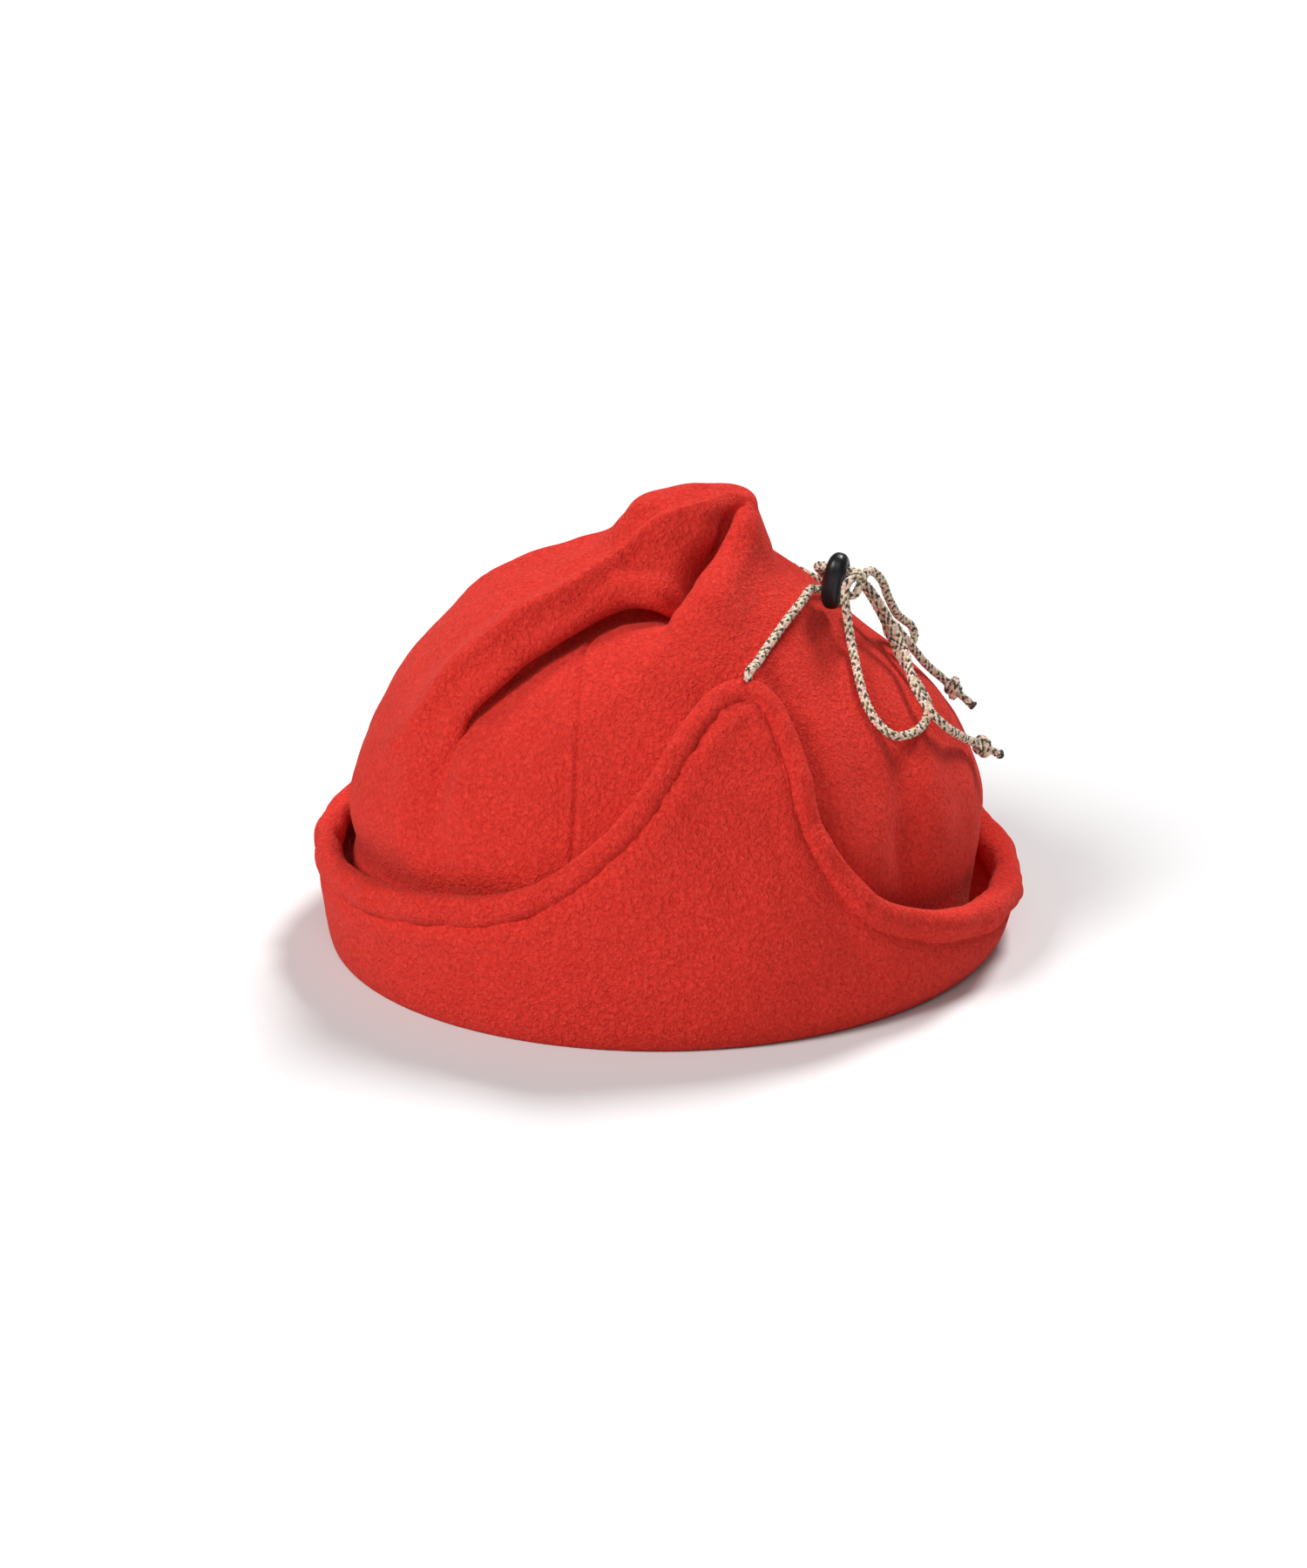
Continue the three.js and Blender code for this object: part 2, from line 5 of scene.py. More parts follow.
import bpy
import numpy as np
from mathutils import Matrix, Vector


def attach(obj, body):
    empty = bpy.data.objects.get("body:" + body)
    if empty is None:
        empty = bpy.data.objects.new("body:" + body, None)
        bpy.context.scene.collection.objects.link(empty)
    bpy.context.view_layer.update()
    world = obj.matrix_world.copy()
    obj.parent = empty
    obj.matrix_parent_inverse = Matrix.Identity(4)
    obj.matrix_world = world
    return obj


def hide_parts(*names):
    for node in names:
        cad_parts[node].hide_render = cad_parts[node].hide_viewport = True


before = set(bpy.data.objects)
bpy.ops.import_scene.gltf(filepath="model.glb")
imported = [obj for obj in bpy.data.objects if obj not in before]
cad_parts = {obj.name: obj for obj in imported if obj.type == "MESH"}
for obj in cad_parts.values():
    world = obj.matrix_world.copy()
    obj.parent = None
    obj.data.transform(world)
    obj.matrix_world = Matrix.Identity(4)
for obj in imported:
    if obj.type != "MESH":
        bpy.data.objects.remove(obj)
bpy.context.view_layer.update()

# Units: lengths are metres, and the cloth's tables are in millimetres
MM = 0.001

# The shortest length that a vector is divided by
TINY = 1e-12

# Directions: upward, one that no cord starts along, and the turn from the near half to the far half
UPWARD = (0, 0, 1)
OFF_AXIS = (0.3, 0.2, 1.0)
MIRROR = np.array((-1, 1, 1))

# Camera, as the photograph was taken
CAMERA_AZIMUTH = 80
CAMERA_ELEVATION = 21
CAMERA_DISTANCE = 1.2
CAMERA_LENS = 90.57
CAMERA_ASIDE = -0.005
CAMERA_HEIGHT = 0.045

# Cords: a round braid of strands that wind both ways over a core
BRAID_STRANDS = 8
BRAID_PITCH = 0.0092
BRAID_RADIUS = 0.0009
BRAID_WAVE = 0.00024
BRAID_RIBS = 5
STRAND_WIDTH = 0.00038
STRAND_THICK = 0.00028
STRAND_SIDES = 6
BRAID_STEP = 0.0005
CORE_RADIUS = 0.00092
CORE_SIDES = 10

# Fineness of a cord's curve: steps on each span of its route, and the points that its path keeps
SPAN_STEPS = 24

# How far a cord's start goes into the hem, on the near side
CORD_SEWN_IN = np.array((0.0007, -0.0009, -0.0036))

# The cords' routes, from the hem to the knot
NEAR_ROUTE = [
    (0.0626, 0.0115, 0.1019), (0.0552, 0.0152, 0.1019), (0.0481, 0.0196, 0.1039),
    (0.0425, 0.0239, 0.1064), (0.037, 0.0283, 0.1089), (0.0304, 0.0334, 0.1112),
    (0.0252, 0.0364, 0.1122), (0.022, 0.0384, 0.1124), (0.0215, 0.041, 0.1118),
    (0.0233, 0.0446, 0.1112), (0.0248, 0.048, 0.1106), (0.0252, 0.0506, 0.1109),
    (0.0234, 0.0526, 0.1132), (0.0198, 0.0548, 0.1152), (0.0158, 0.0578, 0.1148),
    (0.0126, 0.0616, 0.1108), (0.0086, 0.0644, 0.1048), (0.0036, 0.0676, 0.0988),
    (-0.0006, 0.0702, 0.0948), (-0.0036, 0.073, 0.092), (-0.0058, 0.0758, 0.0892),
    (-0.006, 0.0768, 0.086), (-0.0034, 0.075, 0.0844), (0.0004, 0.0726, 0.0854),
    (0.0034, 0.0698, 0.0874), (0.0052, 0.0672, 0.0894), (0.0062, 0.0654, 0.0922),
    (0.008, 0.0646, 0.0952), (0.0108, 0.066, 0.096), (0.0122, 0.0692, 0.092),
    (0.0104, 0.073, 0.087), (0.007, 0.0768, 0.082), (0.004, 0.08, 0.0784),
    (0.0024, 0.0829, 0.0756), (0.003, 0.0851, 0.0736),
]
FAR_ROUTE = [
    (-0.0626, 0.0115, 0.1019), (-0.0568, 0.0168, 0.1006), (-0.051, 0.0224, 0.101),
    (-0.0451, 0.0274, 0.1032), (-0.0398, 0.0338, 0.1047), (-0.0344, 0.041, 0.1028),
    (-0.0284, 0.0474, 0.1006), (-0.0213, 0.0528, 0.099), (-0.014, 0.0554, 0.0986),
    (-0.007, 0.0552, 0.1002), (0.0, 0.0534, 0.103), (0.006, 0.0502, 0.1068),
    (0.011, 0.0462, 0.1112), (0.0149, 0.0428, 0.1152), (0.0182, 0.0409, 0.118),
    (0.022, 0.042, 0.1192), (0.0238, 0.0456, 0.1186), (0.0253, 0.049, 0.1181),
    (0.0268, 0.051, 0.1182), (0.0292, 0.051, 0.1186), (0.0312, 0.0489, 0.1184),
    (0.0318, 0.0467, 0.1164), (0.0316, 0.0462, 0.1128), (0.0312, 0.0467, 0.109),
    (0.0306, 0.0476, 0.104), (0.0314, 0.0483, 0.0988), (0.0365, 0.0484, 0.0948),
    (0.0441, 0.0483, 0.0901), (0.0496, 0.0493, 0.085), (0.0532, 0.0518, 0.0806),
    (0.0542, 0.056, 0.077), (0.051, 0.0612, 0.0756), (0.0456, 0.0663, 0.0754),
    (0.039, 0.07, 0.0764), (0.0335, 0.0714, 0.0788), (0.029, 0.07, 0.0822),
    (0.0205, 0.0658, 0.0892), (0.015, 0.0644, 0.094), (0.0105, 0.0618, 0.1002),
    (0.0084, 0.0584, 0.1062), (0.01, 0.0556, 0.1106), (0.0138, 0.0554, 0.1112),
    (0.0168, 0.0582, 0.108), (0.0184, 0.0618, 0.102), (0.0216, 0.0648, 0.096),
    (0.027, 0.0664, 0.091), (0.034, 0.0666, 0.086), (0.0392, 0.0684, 0.0818),
    (0.0422, 0.0712, 0.078), (0.041, 0.0756, 0.0734), (0.0345, 0.0812, 0.0682),
    (0.0286, 0.0856, 0.0642), (0.0266, 0.0888, 0.062),
]

# Knots: the cord wound round its own tail, whose end is melted into a bead
KNOT_TURNS = 1.7
KNOT_LENGTH = 0.0052
KNOT_RADIUS = 0.0021
KNOT_START = 0.12
KNOT_REACH = 0.76
KNOT_FULLNESS = 0.35
KNOT_LEAN = 0.0007
KNOT_STEPS = 60
KNOT_HEADING_STEPS = 5
TAIL_LENGTH = 0.0052
TAIL_INSIDE = 0.001
TAIL_BOW = 0.0006
TAIL_SHARE = 0.92
TAIL_STEPS = 30
TIP_LENGTH = 0.0014
TIP_RADIUS = 0.00148
TIP_SUNK = 0.3
TIP_BLUNTNESS = 0.7
TIP_LUMPS = 3
TIP_LUMP_TURN = 1.0
TIP_UNEVEN = 0.1
TIP_ROWS = 14
TIP_SIDES = 20
TIP_HEADING_STEPS = 3

# Yarn of the core, then of the strands that wind one way and the other, and the yarns' colours
YARNS = ["cream"]
YARNS += ["cream", "dark", "cream", "pink", "cream", "dark", "cream", "moss"]
YARNS += ["cream", "dark", "pink", "cream", "cream", "yellow", "moss", "pink"]
YARN_COLOURS = {
    "cream": (0.92, 0.8, 0.64, 1),
    "dark": (0.07, 0.058, 0.045, 1),
    "pink": (0.86, 0.5, 0.4, 1),
    "yellow": (0.8, 0.66, 0.3, 1),
    "moss": (0.17, 0.17, 0.1, 1),
}

# Cord lock: half sizes aside, through and along it, place, lean and turn in degrees, and its holes
LOCK_HALF = np.array((0.0053, 0.0038, 0.0086))
LOCK_PLACE = (0.0235, 0.0451, 0.1149)
LOCK_LEAN = 9
LOCK_TURN = 25
LOCK_SQUARENESS = 2.5
LOCK_HOLE_HEIGHT = 0.0038
LOCK_HOLE_RADIUS = 0.0021
LOCK_DIMPLE = 0.35
LOCK_DIMPLE_EDGE = 4
LOCK_ROWS = 60
LOCK_SIDES = 64

# Cloth, in millimetres: its thickness and gaps, and how far the edge turns in at front and back, how high
# its bend is and how far it reaches under
FLEECE = 3.0
GAP = 0.3
TURN_IN = (1.5, 6.0)
TURN_RISE = 9.0
TURN_UNDER = 18.0

# Folding: steps along a fold, how far its direction blends, and the rise at the summit where folds end
FOLD_STEPS = 80
FOLD_BLEND = 6.0
SUMMIT_CALM = 0.035

# Small steps by which slopes are measured: of the rise, of angle and of height
SLOPE_RISE = 0.004
SLOPE_ANGLE = 0.5
SLOPE_HEIGHT = 1.0

# The crown without its folds, a row for each level: height, front, back, half width
CROWN_ROWS = [
    (FLEECE + GAP, -98, 91, 91),
    (26, -97.5, 93, 88.5),
    (50, -96.5, 94, 88),
    (73, -86, 81.5, 78),
    (93, -70.5, 59.5, 62),
    (107.5, -54, 44.5, 47),
    (115.5, -34, 33, 33),
    (121.5, -21.5, 30, 22.5),
    (130, -14.5, 26.8, 16),
    (136.5, -8, 24, 11),
    (141, 10, 10, 0),
]

# How the cloth runs across a fold: place on the unfolded crown and where that cloth goes, in fold
# widths, and how far it stands out, in fold depths
PLEAT_PROFILE = [
    (-3.5, -3.5, 0),
    (-2.6, -2.3, 0.08),
    (-1.8, -1.1, 0.26),
    (-1.2, -0.1, 0.38),
    (-0.6, 0.9, 0.15),
    (-0.2, 1.2, -0.3),
    (0.2, 0.75, -0.72),
    (0.6, 0.75, -1),
    (1.2, 1.4, -0.85),
    (2, 2.1, -0.35),
    (2.8, 2.8, -0.06),
    (3.5, 3.5, 0),
]
TUCK_PROFILE = [
    (-4, -4, 0),
    (-2.5, -2.5, 0),
    (-1.5, -1.5, 0),
    (-1.24, -1.125, 0.015),
    (-0.97, -0.75, 0.062),
    (-0.74, -0.425, 0.085),
    (-0.56, -0.175, 0.062),
    (-0.4, 0.01, -0.01),
    (-0.25, 0.125, -0.12),
    (-0.09, 0.09, -0.26),
    (0.15, -0.125, -0.43),
    (0.44, -0.425, -0.6),
    (0.6, -0.575, -0.71),
    (0.735, -0.425, -0.78),
    (1, -0.05, -0.74),
    (1.43, 0.5, -0.57),
    (1.97, 1.19, -0.37),
    (2.57, 2, -0.185),
    (3.3, 3, -0.055),
    (4, 4, 0),
]
RIDGE_PROFILE = [
    (-4, -4, 0),
    (-2.6, -2.6, -0.06),
    (-1.6, -1.6, -0.11),
    (-1, -1, -0.04),
    (-0.6, -0.6, 0.25),
    (-0.25, -0.25, 0.8),
    (0, 0, 1),
    (0.3, 0.3, 0.95),
    (0.9, 0.9, 0.76),
    (1.6, 1.6, 0.5),
    (2.4, 2.4, 0.24),
    (3.2, 3.2, 0.06),
    (4, 4, 0),
]
GATHER_PROFILE = [
    (-3, -3, 0),
    (-1.6, -1.6, 0.25),
    (-0.8, -0.8, -0.3),
    (0, 0, -1),
    (0.8, 0.8, -0.3),
    (1.6, 1.6, 0.25),
    (3, 3, 0),
]

# The folds of the near half, a row for each station: angle, rise, width, depth, sideways overhang
TOP_PLEAT = [
    (70, 0.88, 3.5, 0, 0),
    (48, 0.82, 4, 5, 0.6),
    (31, 0.707, 5, 10, 1),
    (15, 0.6, 6, 12, 1),
    (4, 0.572, 6, 8, 0.7),
    (-4, 0.555, 6, 3, 0.3),
    (-10, 0.54, 6.5, 0, 0),
]
LIP_PLEAT = [
    (1, 0.588, 6, 0, 0),
    (-4, 0.598, 6.5, 10, 0.8),
    (-10, 0.606, 7, 16, 1.1),
    (-21.6, 0.613, 7.5, 17.5, 1.2),
    (-34.2, 0.607, 8, 17.5, 1.2),
    (-40.2, 0.576, 8, 16, 1.1),
    (-46, 0.504, 8, 15, 1.05),
    (-51.4, 0.461, 8, 14, 1),
    (-54.8, 0.424, 8, 12.5, 1),
    (-58, 0.387, 8, 10, 0.9),
    (-59.4, 0.361, 8, 7.5, 0.8),
    (-59.2, 0.336, 8.5, 5, 0.5),
    (-59, 0.29, 9, 0, 0),
]
LOW_RIDGE = [
    (-83.8, 0.259, 6, 0, 0),
    (-76.2, 0.293, 5.5, 1.5, 0),
    (-71, 0.335, 5, 3.5, 0),
    (-68.5, 0.389, 4.5, 5, 0),
    (-64.2, 0.439, 4, 5.8, 0),
    (-60, 0.495, 4, 6, 0),
    (-56, 0.545, 3.8, 6, 0),
    (-53.6, 0.612, 3.4, 5, 0),
    (-50, 0.711, 3, 2.2, 0),
    (-42, 0.79, 2.6, 0, 0),
]
HIGH_RIDGE = [
    (-56, 0.545, 3.2, 0, 0),
    (-53.6, 0.612, 3.2, 1.2, 0),
    (-50, 0.711, 3, 3.2, 0),
    (-38.6, 0.81, 3, 4.2, 0),
    (-14.6, 0.88, 2.8, 3.2, 0),
    (21, 0.924, 2.4, 1.6, 0),
    (50, 0.945, 2.2, 0, 0),
]
REAR_CREASE = [
    (77, 0.72, 5, 0, 0),
    (50, 0.625, 6, 1.2, 0),
    (33, 0.53, 7, 1.6, 0),
    (21, 0.44, 8, 0, 0),
]
REAR_GATHER = [
    (42, 0.355, 6, 0, 0),
    (37, 0.32, 6.5, 1.6, 0),
    (33, 0.28, 7, 2.6, 0),
    (29.5, 0.24, 7, 2, 0),
    (27, 0.196, 7, 0, 0),
]
LOW_GATHER = [
    (51, 0.345, 7, 0, 0),
    (46, 0.305, 8, 2.4, 0),
    (42, 0.262, 9, 4, 0),
    (39.2, 0.22, 9.5, 4.4, 0),
    (38, 0.176, 9.5, 3.6, 0),
    (38.5, 0.12, 9.5, 0, 0),
]
FRONT_DENT = [
    (-58.5, 0.35, 6, 0, 0),
    (-59.5, 0.3, 7, 3.5, 0),
    (-58.5, 0.25, 7.5, 4.5, 0),
    (-54.5, 0.215, 7.5, 3, 0),
    (-48, 0.19, 7.5, 0, 0),
]
FRONT_TUCK = [
    (-112, 0.12, 8, 0, 0),
    (-96, 0.124, 8, 1.8, 0),
    (-78, 0.13, 8, 2.6, 0),
    (-60, 0.136, 8, 2.6, 0),
    (-44, 0.15, 8, 1.6, 0),
    (-32, 0.17, 8, 0, 0),
]

# The folds: stations, profile, 1 or -1 for the side that the profile starts on, share on the far half
FOLDS = [
    (TOP_PLEAT, PLEAT_PROFILE, -1, 0.8),
    (LIP_PLEAT, TUCK_PROFILE, 1, 0.3),
    (LOW_RIDGE, RIDGE_PROFILE, 1, 0.3),
    (HIGH_RIDGE, RIDGE_PROFILE, -1, 0.3),
    (REAR_CREASE, GATHER_PROFILE, 1, 1),
    (REAR_GATHER, GATHER_PROFILE, 1, 1),
    (LOW_GATHER, GATHER_PROFILE, 1, 1),
    (FRONT_DENT, GATHER_PROFILE, 1, 1),
    (FRONT_TUCK, GATHER_PROFILE, 1, 0),
]

# The side seams of the crown, a row for each station: angle, rise
SEAM_ROWS = [
    (-30, 0.56),
    (-29.5, 0.5),
    (-28.5, 0.419),
    (-27.5, 0.364),
    (-26.5, 0.304),
    (-26, 0.245),
    (-25.5, 0.12),
    (-25, 0),
]

# The seams' groove and the ridges beside it: depth and width in millimetres, the ridges' height in depths
# and place in widths, how far from the seam's middle they are looked for, and how fast they fade in
SEAM_DEPTH = 0.9
SEAM_WIDTH = 0.75
SEAM_RIDGE = 0.3
SEAM_RIDGE_PLACE = 2.2
SEAM_REACH = 60
SEAM_STEPS = 60
SEAM_FADE = 9

# The cuff's outer face, a row for each level: height, front, back, half width
CUFF_ROWS = [
    (0, -105, 104.4, 98.5),
    (15, -106, 105.6, 98.5),
    (30, -106, 106.5, 97.5),
    (50, -102, 101, 94.5),
    (73, -92, 88, 85.5),
    (93, -79, 68, 72),
    (110, -62, 52, 56),
]

# The cuff's upper edge round the near half, front to back: angle at the floor, angle at the edge,
# height, height on the far half, and the hem's height, thickness and stand-out there
RIM_ROWS = [
    (-90, -90, 24.3, 24.3, 9, 8, 2.8),
    (-77, -77, 25, 24.4, 9, 8, 2.8),
    (-64, -63, 27.3, 25, 9, 8, 2.8),
    (-51, -50, 31, 26.5, 8.6, 7.5, 2.6),
    (-41, -39, 35.3, 29.5, 8, 7, 2.2),
    (-32, -30, 42, 37, 7.4, 6.4, 1.9),
    (-24, -22, 52.5, 50, 6.9, 6, 1.7),
    (-17, -15, 64, 63.5, 6.5, 5.6, 1.6),
    (-10, -8, 77, 77, 6.3, 5.5, 1.5),
    (-3, -1, 87.5, 87.5, 6.3, 5.5, 1.5),
    (2, 6.5, 94.6, 94.6, 6.3, 5.5, 1.5),
    (6, 12.5, 96.2, 96.2, 6.3, 5.5, 1.5),
    (8, 16, 93.6, 93.6, 6.3, 5.5, 1.5),
    (10, 16.6, 86.5, 86.5, 6.3, 5.5, 1.5),
    (12, 15.4, 78, 78, 6.3, 5.5, 1.5),
    (14.5, 14.4, 67, 67, 6.5, 5.6, 1.6),
    (18, 15.5, 56, 56, 6.9, 5.8, 1.7),
    (23, 18.7, 44.5, 45.3, 7.4, 6.2, 1.9),
    (28.5, 23.3, 33.5, 35.6, 8, 6.8, 2.2),
    (36, 31, 25.5, 28.6, 8.6, 7.5, 2.5),
    (47, 43.5, 18, 21.8, 9.2, 8.5, 3),
    (61, 59, 13.5, 17, 9.5, 9.2, 3.4),
    (75, 74, 11.5, 13.5, 9.5, 9.5, 3.5),
    (90, 90, 11, 11, 9.5, 9.5, 3.5),
]

# Fineness of the cloth: stretches of angle and of rise with their steps
CROWN_ANGLES = [
    (-118, -76, 24),
    (-76, -32, 84),
    (-32, -21, 28),
    (-21, 30, 58),
    (30, 150, 70),
    (150, 201, 34),
    (201, 212, 16),
    (212, 242, 20),
]
CROWN_RISES = [
    (0, 0.25, 20),
    (0.25, 0.64, 124),
    (0.64, 0.9, 48),
    (0.9, 0.996, 12),
]

# Fineness of the cuff and the hem, and the turned edge's bend and roll
CUFF_COLUMNS = 260
CUFF_LEVELS = 60
CUFF_CROWDING = 1.8
CUFF_INSIDE_EVERY = 3
BEND_STEPS = 8
ROLL_ANGLES = (180, 135, 90, 45, 0)
HEM_COLUMNS = 420
HEM_SIDES = 32

# Rounds of smoothing, and how far a point goes in one towards its neighbours
CROWN_SMOOTHING = 2
BACKING_SMOOTHING = 8
INSIDE_SMOOTHING = 30
RELAX_SHARE = 0.5

# Points handled at a time when distances are measured
FOLD_CHUNK = 8000
DISTANCE_CHUNK = 2000

# The stitched groove under the hem, the puff of cloth below it, and the share of the hem's stand-out
GROOVE_DEPTH = 0.8
GROOVE_WIDTH = 1.8
PUFF_HEIGHT = 0.4
PUFF_PLACE = 5.5
PUFF_WIDTH = 2.6
HEM_LEVEL = 0.75

# The stitches: their length in millimetres, their pull, and its reach up the hem
STITCH_STEP = 5.0
STITCH_SHARE = 0.28
STITCH_REACH = 0.3

# The hem's section, outer side first: share of its height, and share of its half thickness
HEM_SECTION = [
    (-0.14, 0),
    (-0.1, 0.3),
    (-0.02, 0.55),
    (0.1, 0.78),
    (0.25, 0.94),
    (0.45, 1),
    (0.65, 0.97),
    (0.82, 0.84),
    (0.94, 0.58),
    (1, 0.2),
    (1, -0.2),
    (0.94, -0.58),
    (0.82, -0.84),
    (0.6, -1),
    (0.35, -1),
    (0.12, -0.85),
    (-0.02, -0.5),
    (-0.1, -0.2),
    (-0.14, 0),
]

# Unevenness of soft cloth, from seeded waves: wavelength and height in millimetres
SWELL = (55, 0.7)
LUMPS = (15, 0.16)
PUCKER = (7, 0.16)
HEM_LUMPS = (21, 0.24)
WAVES = 48
WAVE_SPREAD = (0.7, 1.6)
CROWN_SEEDS = (3, 4)
CUFF_SEEDS = (11, 12, 13)
HEM_SEEDS = (22, 21, 23)

# The hem's puffs: wavelength in millimetres, and share of the hem's thickness
HEM_PUFF = (SWELL[0] / 3, 0.1)

# The crown's share of the swell, and how fast its unevenness grows with the rise
CROWN_SWELL = 0.6
CROWN_GROWTH = 12

# How far from the floor and from the rim the cuff's unevenness is less, and the reach of the rim's pucker
FLOOR_CALM = 25
RIM_CALM = 10
PUCKER_REACH = 6

# Light: the strength of an even white sky, and soft suns by strength, direction and spread in degrees
SKY = 0.1
SUNS = [
    ("front_left", 2.3, (0.4, -0.84, 0.85), 22),
    ("front", 0.55, (0.985, -0.174, 0.9), 40),
    ("behind_right", 2.85, (-0.6, 0.55, 1.05), 16),
]

# Finishes: the shader's own values, the grain of its noise, and the relief that the noise makes
YARN_FINISH = {"Roughness": 0.85, "Specular IOR Level": 0.25, "Sheen Weight": 0.2}
YARN_GRAIN = {"Scale": 1800, "Detail": 3}
YARN_RELIEF = {"Strength": 0.5, "Distance": 0.0002}
YARN_SHADE = 0.68
YARN_SHADE_STOP = 0.3
YARN_LIGHT_STOP = 0.65
LOCK_FINISH = {"Base Color": (0.008, 0.008, 0.009, 1), "Specular IOR Level": 0.35}
LOCK_GRAIN = {"Scale": 2500}
LOCK_RELIEF = {"Strength": 0.15, "Distance": 0.0001}
LOCK_GLOSS = {"To Min": 0.28, "To Max": 0.4}
FLEECE_FINISH = {
    "Roughness": 1,
    "Specular IOR Level": 0.08,
    "Sheen Weight": 0.14,
    "Sheen Roughness": 0.2,
    "Sheen Tint": (1, 0.5, 0.42, 1),
}
FLEECE_GRAIN = {"Scale": 820, "Detail": 2.5, "Roughness": 0.6, "Distortion": 0.8}
FLEECE_RELIEF = {"Strength": 1, "Distance": 0.0012}
FLOOR_FINISH = {"Base Color": (0.75, 0.75, 0.75, 1), "Roughness": 0.9, "Specular IOR Level": 0.1}
FLOOR_HALF = 6

# The fleece's reds, over the nap's own uneven tone, with painted shade in the hollows between the clumps of
# its nap and lighter red on their tops: place on the noise, colour
FLEECE_REDS_WITH_PAINTED_SHADE = [
    (0.3, (0.56, 0.025, 0.017, 1)),
    (0.5, (0.68, 0.036, 0.025, 1)),
    (0.7, (0.78, 0.051, 0.037, 1)),
]


def make_camera():
    """A camera that looks at the hat as the photograph does."""
    azimuth, elevation = math.radians(CAMERA_AZIMUTH), math.radians(CAMERA_ELEVATION)
    level = math.cos(elevation)
    back = Vector((math.sin(azimuth) * level, -math.cos(azimuth) * level, math.sin(elevation)))
    right = Vector((math.cos(azimuth), math.sin(azimuth), 0))
    data = bpy.data.cameras.new("camera")
    data.lens = CAMERA_LENS
    camera = bpy.data.objects.new("camera", data)
    bpy.context.scene.collection.objects.link(camera)
    target = right * CAMERA_ASIDE + Vector((0, 0, CAMERA_HEIGHT))
    camera.location = target + back * CAMERA_DISTANCE
    camera.rotation_euler = (-back).to_track_quat("-Z", "Y").to_euler()
    bpy.context.scene.camera = camera


def make_piece(name, points, faces, nodes=()):
    """A smooth mesh piece of the hat from points in metres, standing for nodes of the frame."""
    mesh = bpy.data.meshes.new(name)
    mesh.from_pydata(np.asarray(points).tolist(), [], faces)
    mesh.validate()
    mesh.polygons.foreach_set("use_smooth", [True] * len(mesh.polygons))
    mesh.update()
    piece = bpy.data.objects.new(name, mesh)
    bpy.context.scene.collection.objects.link(piece)
    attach(piece, "root")
    if nodes:
        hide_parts(*nodes)
    return piece


def unit(vectors):
    """Vectors of length 1 the same way."""
    return vectors / np.maximum(np.linalg.norm(vectors, axis=-1, keepdims=True), TINY)


def grid_faces(rows, columns, start=0):
    """Quads of a grid stored row by row, whose last column joins the first."""
    faces = []
    for i in range(rows - 1):
        a, b = start + i * columns, start + (i + 1) * columns
        for j in range(columns):
            k = (j + 1) % columns
            faces.append((a + j, a + k, b + k, b + j))
    return faces


# Materials


def set_inputs(node, values):
    """Sets a node's own sockets by name."""
    for name, value in values.items():
        node.inputs[name].default_value = value


def grained_material(name, finish, grain, relief):
    """A material with fine noise fixed to its piece, standing in relief: with its shader and its noise."""
    material = bpy.data.materials.new(name)
    material.use_nodes = True
    nodes, links = material.node_tree.nodes, material.node_tree.links
    shader = nodes["Principled BSDF"]
    set_inputs(shader, finish)
    place = nodes.new("ShaderNodeTexCoord")
    noise = nodes.new("ShaderNodeTexNoise")
    set_inputs(noise, grain)
    links.new(place.outputs["Object"], noise.inputs["Vector"])
    bump = nodes.new("ShaderNodeBump")
    set_inputs(bump, relief)
    links.new(noise.outputs["Fac"], bump.inputs["Height"])
    links.new(bump.outputs["Normal"], shader.inputs["Normal"])
    return material, shader, noise


def colour_by_noise(material, shader, noise, stops):
    """Colours a material by its noise, by rows of place on the noise and colour."""
    ramp = material.node_tree.nodes.new("ShaderNodeValToRGB")
    elements = ramp.color_ramp.elements
    for element, (place, colour) in zip(elements, (stops[0], stops[-1])):
        element.position = place
        element.color = colour
    for place, colour in stops[1:-1]:
        elements.new(place).color = colour
    material.node_tree.links.new(noise.outputs["Fac"], ramp.inputs["Fac"])
    material.node_tree.links.new(ramp.outputs["Color"], shader.inputs["Base Color"])


def yarn_material(name):
    """Spun yarn: uneven colour, fine fibre bump, a little sheen."""
    colour = YARN_COLOURS[name]
    shade = tuple(YARN_SHADE * c for c in colour[:3]) + (1,)
    material, shader, noise = grained_material("yarn_" + name, YARN_FINISH, YARN_GRAIN, YARN_RELIEF)
    colour_by_noise(material, shader, noise, [(YARN_SHADE_STOP, shade), (YARN_LIGHT_STOP, colour)])
    return material


def yarn(name):
    """A yarn's material, made once."""
    return bpy.data.materials.get("yarn_" + name) or yarn_material(name)


def fleece_material():
    """Polar fleece: curled nap in fine clumps with its own uneven tone, painted shade in the hollows between
    them, and a little sheen.
    """
    material, shader, noise = grained_material("fleece", FLEECE_FINISH, FLEECE_GRAIN, FLEECE_RELIEF)
    # The noise that raises the clumps also darkens the hollows between them: painted shade over the nap's
    # own uneven tone
    colour_by_noise(material, shader, noise, FLEECE_REDS_WITH_PAINTED_SHADE)
    return material


def lock_material():
    """Black moulded plastic with a faint grain and uneven gloss."""
    material, shader, noise = grained_material("lock_plastic", LOCK_FINISH, LOCK_GRAIN, LOCK_RELIEF)
    nodes, links = material.node_tree.nodes, material.node_tree.links
    gloss = nodes.new("ShaderNodeMapRange")
    set_inputs(gloss, LOCK_GLOSS)
    links.new(noise.outputs["Fac"], gloss.inputs["Value"])
    links.new(gloss.outputs["Result"], shader.inputs["Roughness"])
    return material


# Cords


